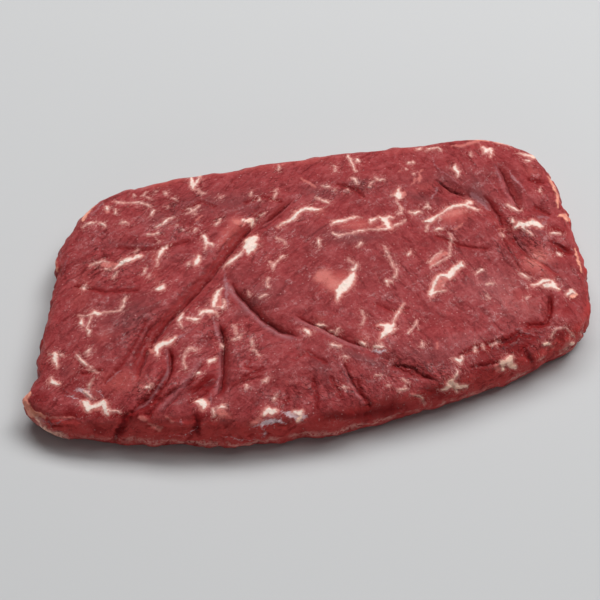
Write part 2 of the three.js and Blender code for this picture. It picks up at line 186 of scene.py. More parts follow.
# Fat, as strokes on the plan: (x, y, half width) along each
CREAM = [
    [(-48, 19.6, 1), (-47.3, 17.5, 0.8), (-46.6, 15.5, 0.9), (-47.3, 11.5, 0.3)],
    [(-46.5, 15, 0.5), (-44.5, 14.8, 0.7), (-43.8, 13.5, 0.3)],
    [(-49.8, 7.2, 0.7), (-50.4, 5, 1.5), (-50.8, 2.8, 1)], [(-54.2, 4, 0.3), (-54, 2.5, 0.6)],
    [(-64.4, -9.2, 0.4), (-64.8, -10.5, 1), (-66.5, -11.5, 1.2), (-67.7, -11.9, 0.5)],
    [(-24.2, 18.8, 0.8), (-25.2, 18, 1.5), (-27.3, 16, 2.6), (-27.2, 13, 2.8), (-27.8, 10.3, 1.3),
     (-27.9, 8.8, 0.5)], [(-24.9, 14.5, 1.1), (-26, 12, 1.2)],
    [(-29.9, 11.8, 0.3), (-31.5, 8.5, 0.5), (-33.5, 6.6, 0.9), (-35.5, 4.5, 0.8), (-37.5, 2, 0.35),
     (-38.8, 0.8, 0.15)],
    [(-31, 29.2, 0.7), (-29, 29, 1.3), (-27, 29, 1.4), (-26.3, 27, 0.9), (-26.4, 25.8, 0.5)],
    [(-24.8, 29.7, 0.5)], [(-42.8, 26.3, 0.5), (-41.8, 28, 0.4), (-41, 30, 0.2)],
    [(-14.8, 25, 0.35), (-13, 27, 0.6), (-11, 28, 0.8), (-8.5, 29.8, 1.1), (-7, 32, 1.1), (-6, 33.8, 1.1),
     (-4, 35.4, 0.9), (-2, 36.3, 1), (0, 36, 1.3), (2.5, 35.8, 0.9), (4.6, 36.3, 0.35)],
    [(-39.3, -11.3, 0.4), (-40.5, -13, 0.7), (-41.4, -15, 1), (-41.8, -18, 1), (-42.4, -21, 1.1),
     (-42.7, -22.3, 0.7)], [(-38, -17.5, 0.3), (-37.8, -20.5, 0.6), (-38.3, -22.3, 0.7)],
    [(-41.5, -22, 0.5), (-38.8, -21.8, 0.5)],
    [(-48.3, -26, 0.6), (-46.5, -24.6, 1), (-44.5, -24, 1.1), (-42.3, -24.5, 0.8), (-41.2, -25, 0.3)],
    [(-41.5, -24.3, 0.4), (-40.3, -27, 0.2)], [(-48.3, -23.4, 0.2), (-47.3, -24.6, 0.4)],
    [(-53.7, -28, 0.4), (-51.5, -28.4, 0.8), (-49.5, -29, 1), (-48.3, -28.4, 0.5)],
    [(-55.3, -25.2, 0.3), (-56.3, -27.5, 0.9), (-57, -29.2, 0.8)], [(-56.5, -30, 0.3), (-55.6, -33.5, 0.4)],
    [(-12.8, 7.3, 0.5), (-14, 5.5, 0.25), (-16, 3.5, 0.4), (-16.5, 2.4, 0.7), (-17, 0.3, 0.25)],
    [(-18.5, 4.5, 0.25), (-16.8, 3, 0.3)], [(-15.3, 18.3, 0.4), (-12, 16, 0.25), (-11.8, 14.5, 0.25)],
    [(-27.6, -12.9, 0.4), (-26.9, -15.5, 0.2)], [(-22.3, -16.3, 0.4), (-20, -14.8, 0.3)],
    [(-19, -5.5, 0.3), (-19.5, -8, 0.35), (-18.9, -10.5, 0.3)],
    [(-66.3, -45.8, 0.9), (-65, -43.5, 1.5), (-63, -42, 1.4), (-61, -41.8, 1.1), (-59.3, -40.2, 0.9),
     (-57.9, -38.4, 0.5)], [(-65.5, -44.5, 0.9), (-65.2, -48, 0.6)],
    [(-53.3, -46.5, 0.4), (-52.5, -44.9, 0.35), (-50.5, -44.3, 0.35), (-49.8, -45.3, 0.5),
     (-48.8, -45.5, 0.4)], [(-53.4, -47.3, 0.3), (-54, -50, 0.25), (-53.8, -53, 0.3), (-53.1, -55.3, 0.45)],
    [(-43.1, -51.4, 0.8), (-41.4, -50.8, 0.9)], [(-47.6, -57.8, 0.8), (-46.8, -57.3, 0.5)],
    [(-38.4, -42.4, 0.25), (-38, -43.8, 0.6)],
    [(-33.3, -32.3, 0.25), (-32.5, -34, 0.35), (-32, -37.5, 0.2)],
    [(-29.9, -36.5, 0.2), (-30.6, -38.8, 0.4), (-33.3, -39.9, 0.4)],
    [(-25.6, -39.5, 0.2), (-25.3, -42, 0.5), (-25, -43.5, 0.3)],
    [(-24.8, -45.2, 0.3), (-22.2, -48.2, 0.35)], [(-27.3, -64, 0.45), (-27.4, -65.6, 0.3)],
    [(-20.5, -61.9, 0.3), (-19, -61.9, 0.5), (-18.5, -60.3, 0.4)],
    [(-14.7, -69.3, 0.3), (-15.7, -71.8, 0.4)],
    [(-47.9, -72.4, 0.7), (-46.5, -72, 1.1), (-45, -73.4, 1.8), (-44.4, -74.6, 1.4), (-45.2, -76.7, 0.6)],
    [(-39, -75.8, 0.5), (-37, -74.9, 0.8), (-35.9, -75.4, 0.7)], [(-40.6, -76.4, 0.4), (-40.2, -80, 0.35)],
    [(-68.7, -65, 0.9), (-67.3, -65.5, 0.5)], [(-66.5, -63.3, 0.2), (-67.4, -65, 0.4)],
    [(-19.7, -79, 1), (-18.2, -76.6, 1.4), (-17, -77.8, 1.8), (-15.1, -77, 0.9)],
    [(-7.3, -78, 1), (-5.5, -78.6, 1.4), (-4.5, -77.9, 0.9), (-5.8, -82.3, 0.7)],
    [(2.9, -32, 0.8), (4.3, -32, 0.9), (5.9, -32.4, 0.3)],
    [(-2.8, -34.5, 0.6), (-1.5, -36, 1), (-0.8, -37.2, 0.4)],
    [(8.4, -42, 0.6), (9.3, -42.8, 0.6), (12.1, -43.4, 0.4)], [(13, -49, 0.25), (15, -49.6, 0.5)],
    [(8.2, -35, 0.4), (9.2, -35.3, 0.3)], [(11.5, -33.7, 0.3), (10.1, -36.8, 0.3)],
    [(28, -32, 0.3), (30, -32, 0.8), (32.5, -32.5, 1.8), (33, -34.5, 2), (31, -36.5, 1.5),
     (29.5, -38.6, 0.8), (28.6, -40.4, 0.25)],
    [(33.5, -33, 1.2), (35, -31.5, 0.8), (34.8, -30, 0.5), (36.3, -27, 0.5), (37.5, -24.5, 0.45),
     (39, -22, 0.25), (39.9, -19.8, 0.2)], [(33, -34, 1.2), (35.5, -34, 0.4), (34.5, -36.3, 0.2)],
    [(20.8, -41.3, 0.6), (22.4, -42.3, 0.9)], [(26.7, -44, 0.8), (29, -43.6, 1), (30.6, -43.6, 0.4)],
    [(29.2, -42, 0.4), (29.8, -43, 0.5)],
    [(41, -36.2, 0.4), (43.2, -33.5, 0.25), (44.5, -31, 0.35), (45.2, -29.6, 0.2)],
    [(21.7, -23.6, 0.2), (22.8, -28, 0.25), (21.3, -31.5, 0.2)], [(47, -41.8, 0.4), (46.8, -43.5, 0.4)],
    [(36, -66.7, 0.5), (38.5, -66, 0.5)], [(31.3, -64.2, 0.4)], [(38.2, -61, 0.3), (39.7, -62.4, 0.35)],
    [(42, -69.2, 0.3), (44.7, -69.9, 0.5), (46.3, -73, 0.3)], [(13.3, -64.8, 0.4), (14.4, -65.4, 0.25)],
    [(27, -59, 0.35), (29.2, -59, 0.35)], [(38.5, -64.8, 0.4)],
    [(54, -67, 0.4), (56, -65.8, 1), (57.8, -63, 1.6), (58.6, -61, 0.7)],
    [(58, -64, 1), (59.6, -64.5, 1.6), (61.5, -65, 1.2), (64.5, -64.2, 0.5)], [(59.7, -66.7, 0.8)],
    [(58.8, -61.6, 0.35), (60.2, -59, 0.6), (61.5, -56.7, 0.4)],
    [(60.8, -50.4, 0.9), (62, -51, 1.2), (62.4, -53, 0.4)], [(63, -48.6, 0.5), (63.4, -50.5, 0.4)],
    [(69.3, -43.7, 0.5), (68.8, -46.2, 0.45)], [(72.6, -42.2, 0.4), (72.6, -44.4, 0.35)],
    [(84, -48.6, 0.7), (83, -49.8, 1.2), (82.5, -52, 1.6), (84, -54, 1.6), (85, -55, 0.8)],
    [(80.4, -52, 1.3), (80, -55.5, 0.7)], [(98.6, -42.4, 0.7), (100.3, -42, 1)],
    [(76.5, -42.3, 0.5), (78.5, -41, 0.4)],
    [(51.6, 28.2, 0.7), (53.7, 28.8, 1.4), (56, 30.8, 0.8), (59.5, 33.6, 0.6), (62, 36, 0.7),
     (65, 37.8, 0.9), (68, 38.3, 1.1), (70.6, 38.7, 1), (72.6, 40.1, 1), (71.2, 41, 0.6)],
    [(70.5, 38, 0.7), (73.5, 36.6, 0.8), (75.7, 35.4, 0.5)], [(57.3, 32.3, 0.5), (58.6, 29.8, 0.35)],
    [(52.8, 26.5, 0.25), (52.1, 25, 0.5), (51.8, 22.8, 0.25)],
    [(55.8, 23.4, 0.5), (57.5, 24, 0.7), (58.9, 23.7, 0.3)],
    [(52.1, 3.8, 0.25), (54.5, 7, 0.35), (58.2, 10.8, 0.35)],
    [(52.7, 1.2, 0.3), (56, 3.6, 0.35), (59.5, 6, 0.3), (61.4, 8, 0.35)],
    [(61.3, 9, 0.3), (61.8, 14, 0.2), (63, 18, 0.3), (61.8, 21.5, 0.2)],
    [(66.4, 4, 0.4), (65.6, 2, 1.5), (63.5, 0, 1.5), (61.5, -2.5, 1.8), (60.3, -4.5, 1.5), (58, -3.5, 0.9),
     (55.5, -4.6, 0.9), (54, -8, 0.8), (53, -11, 0.8), (52.2, -13.5, 1.3), (51.8, -15.6, 0.6)],
    [(53, -14, 0.8), (55, -13, 0.6), (58.3, -12.4, 0.3)], [(64, 0.8, 1.1), (66.7, 2, 0.9)],
    [(74.7, -0.6, 0.7), (73, -2, 0.4), (72.2, -2.9, 0.2)],
    [(76.3, -9, 0.3), (77.8, -8.5, 0.6), (79.4, -8.4, 0.25)], [(76, -15.6, 0.4), (76.8, -17.2, 0.25)],
    [(93.3, -16.8, 0.4), (94.2, -16.2, 0.2)], [(91.5, -2.6, 0.5), (93.5, -4, 0.8), (95.2, -5.2, 0.5)],
    [(96.3, -9.6, 0.5), (99.5, -8.6, 1), (101.5, -6.6, 1.1), (105, -7, 0.8), (105.9, -9.5, 1.3),
     (102, -9.6, 1.4)], [(105, -10, 1.2), (107.8, -11.6, 0.7)],
    [(111.2, -14.7, 0.9), (113.2, -12.8, 1), (114.3, -14, 0.7)], [(91, 28.3, 0.9), (90.7, 30.4, 0.5)],
    [(91.8, 24.7, 0.8), (94.5, 26.9, 1.5), (97, 26.4, 1.5), (100, 28, 1.6), (102, 26.4, 1.5),
     (103.3, 25.2, 0.8)], [(95.2, 25, 1), (96.8, 22.8, 0.5), (98.9, 20.2, 0.6)],
    [(85.2, 21.4, 0.3), (86.1, 19.3, 0.4)], [(109.2, 9.7, 0.5), (110.4, 8, 0.6)],
    [(107.5, 21, 0.5), (109.5, 21.5, 0.8), (111.5, 21.2, 0.6)], [(50.4, 74.4, 0.7), (51.5, 75, 0.4)],
    [(54.8, 74.4, 0.5), (57.5, 75, 0.5), (59.5, 75.3, 0.6), (60.7, 73.6, 0.5)],
    [(80.8, 75.6, 0.6), (82.3, 73.6, 1.4), (84.3, 74.2, 0.8), (84.4, 72, 0.6), (83.8, 69.4, 0.3)],
    [(82.3, 73, 1), (80.9, 71.6, 0.4)],
    [(66.9, 64.2, 0.4), (67, 61.5, 1.2), (68.2, 59.6, 1), (67.8, 56.8, 0.35)],
    [(87.3, 79.3, 0.5), (90, 78.6, 0.9), (93.5, 77.4, 0.7)],
    [(97.6, 71.8, 0.4), (100.5, 70.6, 0.7), (103.5, 69.4, 1.1), (105.6, 68.9, 1.2), (107.1, 67.3, 0.6)],
    [(100.6, 67, 0.6), (101.8, 66.8, 0.6)], [(74.6, 71.3, 0.4), (75.2, 69.7, 0.25)],
    [(89.3, 38.7, 0.4), (91.3, 37.2, 0.7), (93.3, 35.1, 0.8), (95.2, 35.4, 0.3)],
    [(105.1, 48.2, 0.35), (104.8, 47, 0.3)],
    [(17.4, 70, 0.6), (18.5, 67, 0.55), (19.5, 63.5, 0.45), (20.9, 60, 0.3)],
    [(21.4, 67.6, 0.5), (21.7, 66.8, 0.9), (22.6, 66, 0.4)],
    [(10.5, 63.8, 0.25), (11.5, 62.5, 0.3), (11.1, 60.2, 0.25)],
    [(19.2, 55.5, 0.35), (20.3, 54.3, 0.6), (21.2, 52.2, 0.45)],
    [(29.8, 56, 0.3), (30.4, 54.6, 0.4), (32, 54.3, 0.5), (33.7, 54.9, 0.25)],
    [(28.6, 53.3, 0.3), (27.4, 51.5, 0.25), (26.4, 49.8, 0.3)],
    [(5.4, 50.5, 0.4), (7, 50, 0.6), (8.4, 50.2, 0.35)], [(16.8, 48.6, 0.3), (16.9, 47.8, 0.4)],
    [(10.8, 47.9, 0.4)],
    [(40.5, 49.3, 0.2), (40, 46.8, 0.8), (39.3, 44.6, 1.2), (40, 43.3, 1.3), (40.6, 45.2, 1.4)],
    [(37.6, 44.4, 0.4), (39, 44.4, 0.9)],
    [(39, 41.2, 0.2), (40.3, 38.5, 0.25), (41, 36, 0.4), (41.1, 33.6, 0.45)],
    [(39.2, 33.2, 0.3), (41, 33.4, 0.4)],
    [(44.8, 34.1, 0.5), (46.5, 33.5, 0.8), (48.5, 34.2, 0.9), (50.3, 33.7, 0.35)],
    [(53.3, 39.7, 0.25), (53, 38, 0.5), (51.8, 36.9, 0.4)], [(53, 37.5, 0.4), (54, 36.8, 0.35)],
    [(45.4, 65.2, 0.35), (46.4, 65.9, 0.4), (47.2, 65.8, 0.8)], [(44.3, 61.5, 0.4)], [(47.8, 58.5, 0.4)],
    [(2.7, 42.8, 0.5), (5, 41.8, 0.35), (6.5, 41, 0.8), (8.2, 40, 0.2)],
    [(9.3, 26.6, 0.5), (10.4, 28, 0.9), (12.5, 28.4, 1.1), (14.5, 28.9, 0.9), (17, 30, 0.6),
     (19.5, 31, 0.55), (21.6, 30.8, 0.3)],
    [(26.9, 27.4, 0.4), (27, 29.3, 0.8), (28.4, 29.4, 1), (29.3, 30.3, 0.5)],
    [(31, 30.9, 0.6), (32.2, 30, 1), (33.6, 28.6, 1.5), (34.4, 26.4, 1.4), (34.9, 24.8, 1.1),
     (36.2, 24.2, 0.4)], [(33.5, 30, 1), (35.2, 31, 0.5), (36.8, 30.6, 0.5)],
    [(9.6, 21.4, 0.4), (12, 20, 0.7), (14, 20.3, 0.35), (16, 20.8, 0.2), (19, 21.6, 0.4), (21, 22.3, 0.6),
     (23, 22.9, 0.5), (25, 23.4, 0.25), (28, 23.4, 0.2), (31, 23.8, 0.5), (34, 24, 0.8)],
    [(36.6, 25, 0.25), (38.5, 26.3, 0.55), (40, 27.2, 0.4), (42.7, 29.4, 0.2)],
    [(3.6, 18, 0.25), (3.2, 15.6, 0.8), (3.6, 13.8, 0.4)], [(22, 15.2, 0.7), (21.2, 14, 0.35)],
    [(21, 13.4, 0.4)], [(43.9, 10.2, 0.4), (43.2, 8.6, 0.5), (42.7, 7.8, 0.25)],
    [(32.8, 13.5, 0.2), (33.8, 9.5, 0.3), (35, 5.5, 0.2), (36.4, 1.4, 0.35), (37.4, 0.2, 0.3),
     (37.2, -3, 0.4), (36.2, -5.2, 0.3)], [(32.8, -6.8, 0.9), (33.2, -8.6, 0.35)],
    [(33, -7, 0.7), (35, -7.1, 0.35)], [(20, 3, 0.3), (19.5, 1, 0.8), (18, -0.6, 0.9)],
    [(18.3, -3, 1.2), (17.3, -6, 1.9), (15.8, -8.5, 2.3), (14, -10.8, 2.4), (12.2, -12.8, 1.8),
     (11.7, -15, 1.1), (11, -18, 0.35)], [(16.4, 6.2, 0.2), (17, 4.6, 0.3), (18.6, 3.6, 0.2)],
    [(-55.2, 56.6, 0.4), (-54.8, 54, 0.8), (-54.3, 51, 1.1), (-53.8, 48.6, 0.7)],
    [(-51.2, 56.9, 0.35), (-52.3, 54, 0.6), (-53.2, 51, 0.7)],
    [(-51.8, 48.6, 0.2), (-50.5, 46, 0.2), (-48.8, 45.8, 0.4)], [(-67, 46.6, 0.3), (-66.4, 45.4, 0.5)],
    [(-63.2, 42.9, 0.4), (-61.9, 42.1, 0.5)], [(-65.2, 37.2, 0.4)],
    [(-14.9, 63.6, 0.4), (-14.7, 61.2, 0.25)], [(-16, 48.6, 0.2), (-16.2, 46, 0.4), (-16.9, 42.8, 0.15)],
    [(-27, 46.6, 0.2), (-27.9, 44.3, 0.3)], [(-23.5, 43.6, 0.2), (-23.7, 41.6, 0.5)], [(-41.6, 43.2, 0.45)],
    [(-56, 36.7, 0.2), (-54.5, 35.5, 0.25), (-53.5, 34.8, 0.5), (-52, 36.5, 0.25), (-51, 38, 0.35)],
    [(-56, 33.5, 0.2), (-53.7, 34.8, 0.3)], [(-52.5, 33.2, 0.4)],
    [(-70.2, 25, 0.35), (-67.5, 26.5, 0.55), (-66, 28, 0.7), (-64, 30, 0.5), (-61.8, 30.9, 0.2)],
    [(-60.3, 26, 0.35)], [(-57.8, 23, 0.35)], [(-51.3, 24, 0.4), (-52.5, 22, 0.2)],
    [(-23, 32.4, 0.4), (-21.3, 33.7, 0.3)],
    [(-89, 40.5, 0.3), (-86, 40, 0.3), (-83, 39.8, 0.2), (-80, 40, 0.4), (-78, 40, 0.3), (-75.3, 39, 0.4),
     (-73.4, 37.6, 0.35)], [(-71.4, 35.2, 0.4), (-72, 33.6, 0.8), (-72.4, 32, 0.35)],
    [(-92.8, 37, 0.9), (-92.4, 36, 0.8)], [(-88.9, 35.7, 0.3), (-88.4, 33.2, 0.3)], [(-80.9, 44.6, 0.4)],
    [(-76.9, 44.4, 0.35), (-75.8, 47, 0.2)], [(-74.5, 43.3, 0.3), (-73.7, 42.8, 0.4)], [(-71, 47.2, 0.3)],
    [(-85.7, 27.3, 0.4), (-84, 28, 0.5), (-82.2, 27.2, 0.3)],
    [(-103, 25, 0.2), (-99.5, 27.4, 0.45), (-97.2, 28, 0.25)],
    [(-95.2, 27.4, 0.4), (-93.6, 26.8, 0.7), (-92.4, 25.2, 0.35)],
    [(-73.2, 20.3, 0.5), (-71, 20.5, 0.45), (-68.5, 21.2, 0.4)], [(-67.7, 16.4, 0.45)],
    [(-66, 12.2, 1), (-66.8, 10, 1), (-67.5, 8, 0.75), (-68, 6, 0.5), (-68.1, 3.5, 0.3), (-68.3, 2, 0.2)],
    [(-64.2, 14.2, 0.25), (-65, 12.6, 0.8)],
    [(-74.8, 7.7, 0.3), (-76.5, 7.2, 1), (-79, 6, 1.2), (-81.5, 5, 1.5), (-83.5, 3.5, 1.1), (-85, 2, 0.8),
     (-86.8, 0, 0.3)],
    [(-97.7, 2, 0.25), (-95.5, 3.3, 0.5), (-93.5, 3.5, 0.5), (-91.5, 4.2, 0.5), (-89.8, 3.8, 0.3)],
    [(-90.6, -0.3, 0.45), (-88.8, 0, 0.25)], [(-78, 10, 0.25), (-76.9, 12, 0.3)],
    [(-85.3, -1.4, 0.3), (-86.3, -3.5, 0.35), (-87.1, -5.2, 0.2)], [(-73.1, 0, 0.35), (-73.8, -2.8, 0.25)],
    [(-71.1, -3.4, 0.25), (-71.6, -5, 0.2)], [(-98.6, -9.2, 0.4), (-99.6, -11, 0.8)],
    [(-80.7, -16.3, 0.25), (-81.2, -19, 0.4), (-81.6, -21.5, 0.6), (-82.6, -23.7, 0.3), (-86, -24.3, 0.25),
     (-90, -25, 0.3)], [(-93.4, -25, 1.3), (-92, -25.8, 1), (-90.3, -25.3, 0.35)],
    [(-94, -25.5, 0.6), (-97, -26.6, 0.3), (-100, -26.8, 0.2)],
    [(-95, -27, 0.4), (-95.2, -29.5, 0.5), (-95.9, -31.2, 0.3), (-95.8, -33.5, 0.5), (-95.2, -35, 0.9),
     (-95, -37, 0.4)], [(-98.9, -28.6, 0.5), (-98.5, -30.5, 1), (-98.1, -32.2, 0.4)],
    [(-108.2, -47.8, 1.2), (-108.3, -50, 1.2), (-107.8, -52, 0.7), (-106.8, -54.5, 0.4)],
    [(-110.2, -47.8, 0.4), (-105.4, -48.5, 0.4)],
    [(-99.2, -48.4, 0.4), (-97.3, -50.5, 0.5), (-95.5, -52.5, 0.8), (-94.4, -53.6, 0.4)],
    [(-93.2, -55, 0.5)], [(-91.6, -56.3, 0.3), (-89.9, -57.4, 0.2)],
    [(-95.2, -46.8, 0.5), (-94.2, -45.8, 0.4), (-93.7, -44.8, 0.2)],
    [(-94.9, -47, 0.4), (-94.3, -48.4, 0.2)],
    [(-108.5, -60.5, 0.5), (-108, -62.6, 1.2), (-105.2, -63.6, 0.6)],
    [(-94.8, -72.3, 0.6), (-93.2, -73.5, 1.4), (-92, -76, 1.7), (-90.3, -75, 1.1), (-88.5, -74.6, 1.1),
     (-86, -73, 1.2), (-85.2, -75.5, 1.2), (-84.6, -77.5, 1.2), (-84, -79.4, 0.6)],
    [(-84, -76.9, 0.6), (-80, -77.5, 0.4), (-78.3, -78, 0.2)],
    [(-92.7, -65.5, 0.4), (-92, -62.5, 0.3), (-91, -60.8, 0.2)],
    [(-94.5, -67, 0.5), (-93, -68.4, 0.8), (-91.4, -70.6, 0.6)],
    [(102, -38.8, 0.12), (103, -35.6, 0.12), (105, -33.3, 0.14), (108.7, -33.2, 0.12), (110.2, -36, 0.1),
     (111.7, -38.4, 0.12)], [(110.2, -41.3, 0.5), (109, -42.2, 0.25)], [(114, -40, 0.4), (115, -39, 0.2)],
    [(108, -44, 0.35), (106.5, -45, 0.2)], [(115.6, -35.6, 0.35), (114.6, -37, 0.2)], [(105, -47, 0.4)],
    [(97, -49.5, 0.3), (95.6, -50, 0.2)],
    [(-112.9, -80.2, 0.2), (-109.6, -85.3, 0.4), (-105.6, -88.9, 0.5), (-100.3, -90.2, 0.3)],
]

# Pink fat
SALMON = [
    [(53, 2.8, 0.9), (55, 5.5, 1.2), (57.5, 8, 1.2), (60, 9.4, 0.8)],
    [(57.5, -6.5, 1.8), (55.5, -10.5, 1.8)], [(-91.5, 2.4, 1.2), (-89, 2, 1.6), (-86.5, 2.5, 1.2)],
    [(66.6, 76.5, 0.5), (68.5, 76.8, 0.9), (70.5, 76.4, 0.8), (73, 77.5, 0.8), (76, 78.8, 1),
     (79, 79.4, 0.8)], [(-37.8, -77.6, 1.9), (-36.5, -78.5, 1.6)],
    [(-39.9, -20.5, 0.8), (-39.6, -16.5, 0.6)], [(-44, -26, 0.7), (-43.3, -27.6, 0.5)],
    [(50.2, 57.6, 0.5), (50, 55, 1), (49.8, 53, 0.6)],
    [(46, 51, 0.3), (47.3, 52.5, 0.3), (48.1, 55.5, 0.3)], [(51.5, 60.8, 0.4), (50.2, 58.5, 0.4)],
    [(-4.6, 55.6, 0.35), (-3, 54, 0.5), (0, 51.5, 0.7), (2.3, 49.5, 0.4)], [(41, 59.7, 0.5)],
    [(42.4, 45.5, 1.4)], [(64.3, 23.6, 0.5), (66.3, 25, 0.6), (68.1, 27, 0.5)],
    [(86.8, 23.8, 0.5), (84, 23.7, 0.4)], [(77.5, -54, 0.9), (77.8, -56.5, 0.8)], [(101.7, -43.6, 0.9)],
    [(53.2, -41.8, 0.4), (53, -44.6, 0.4)], [(103.5, -8, 0.9)], [(108, -11.8, 0.9)],
    [(-21.5, -81.8, 1.3), (-24.5, -83.6, 0.9)], [(-67.5, -46.6, 0.9), (-68, -45.2, 0.7)],
    [(-89, -77, 0.8), (-87, -76.6, 0.7)], [(-70.5, -80.3, 0.7), (-68, -81.8, 1)], [(-92.4, 34.4, 1)],
    [(-33, 27.8, 1.6), (-30.5, 26.8, 1.3)], [(-51.8, 29, 0.6), (-50.8, 31, 0.5), (-49.6, 32, 0.4)],
    [(40, 46.5, 0.6)], [(32.8, 26.2, 0.6), (30, 24.6, 0.6)], [(19.6, 2, 0.6)],
    [(13.6, -8, 1.3), (11.6, -11, 1.2)], [(-12.5, 27.6, 0.8), (-10.3, 28.2, 0.8)],
    [(-110.5, -80.2, 0.4), (-104.4, -80.8, 0.5), (-97.5, -80.8, 0.4)], [(-66, -84, 0.8), (-62, -86.5, 1)],
    [(-57, -83, 0.5), (-60, -80, 0.4)],
    [(109.8, -38.4, 0.4), (107.6, -41.6, 0.5), (106, -44.4, 0.4), (104.4, -46.8, 0.4)],
]

# Dark jagged cracks and folds: dents with deep red and painted shade along them
FOLDS = [
    [(103.2, -19, 0), (102.6, -25.2, 0.2), (99.6, -30.7, 0.35), (92.8, -32, 0.1)],
    [(88.2, -36, 0.8), (83.4, -40, 1.1), (74.7, -41.7, 0.4), (68.6, -44.3, 0.8), (62.9, -48, 0.3)],
    [(34.4, -54.5, 0.3), (38, -54.4, 0.5), (42.3, -55.5, 0.5), (45, -58.6, 0.4), (49.8, -61, 0.3)],
    [(89.9, -44.3, 0.6), (92.4, -51.8, 0.6)], [(66.9, -54.5, 0.4), (72, -53.6, 0.7), (78.4, -52.3, 0.4)],
    [(-76.2, -79.2, 0.7), (-78, -86, 1), (-79.8, -92, 0.7)], [(-47.7, -79.2, 0.6), (-46.6, -88, 0.9)],
    [(-59.1, -48.6, 0.4), (-60, -56, 0.7), (-63.4, -64.6, 0.9), (-68, -72, 0.9), (-74.3, -78.2, 0.6)],
    [(-49.4, -61.5, 0.3), (-56.7, -66.8, 0.6), (-63, -72, 0.8), (-67.6, -79.2, 0.7)],
    [(-44.1, -67.8, 0.9), (-49.7, -72, 0.6)], [(18.7, -61.5, 0.3), (20.3, -67.8, 0.5), (24.3, -75.1, 0.3)],
    [(-27.5, -59.3, 0.3), (-20.8, -55, 0.3)], [(-26, -50.8, 0.25), (-27.6, -54, 0.35), (-22.5, -57.2, 0.3)],
    [(0.4, -61, 0.1), (1.9, -69.9, 0.35), (1.9, -76.1, 0.3)], [(-9.8, -70.9, 0.3), (-13, -76.1, 0.35)],
    [(-86, 13, 0.3), (-75, 11.5, 0.5), (-64, 13, 0.5), (-55, 17, 0.3)],
    [(-103, -10, 0.3), (-90, -13, 0.5), (-76, -12, 0.4)], [(12, 52, 0.3), (20, 49, 0.5), (24, 44, 0.3)],
    [(-30, 40, 0.3), (-22, 44, 0.4), (-14, 41, 0.3)], [(101, 55, 0.6), (107, 53, 0.6)],
    [(102, 37, 0.35), (108, 33, 0.3)], [(28, -20, 0.2), (36, -24, 0.3), (42, -22, 0.2)],
    [(-58, 36, 0.2), (-50, 41, 0.3), (-44, 38, 0.3)], [(-96, -58, 0.2), (-88, -56, 0.3)],
    [(108, 16, 0.5), (114, 10, 0.7)],
    [(-71.5, -30, 0.1), (-74.5, -40, 0.2), (-79.5, -52, 0.25), (-86, -63, 0.1)],
    [(-68.5, -33, 0.05), (-70.5, -42, 0.15), (-74, -50, 0.1)],
    [(-7, -50, 0.2), (-2, -46, 0.3), (6, -52, 0.25)], [(8, -60, 0.3), (12, -70, 0.4)],
    [(56, 20, 0.2), (66, 14, 0.3), (78, 12, 0.2)],
]

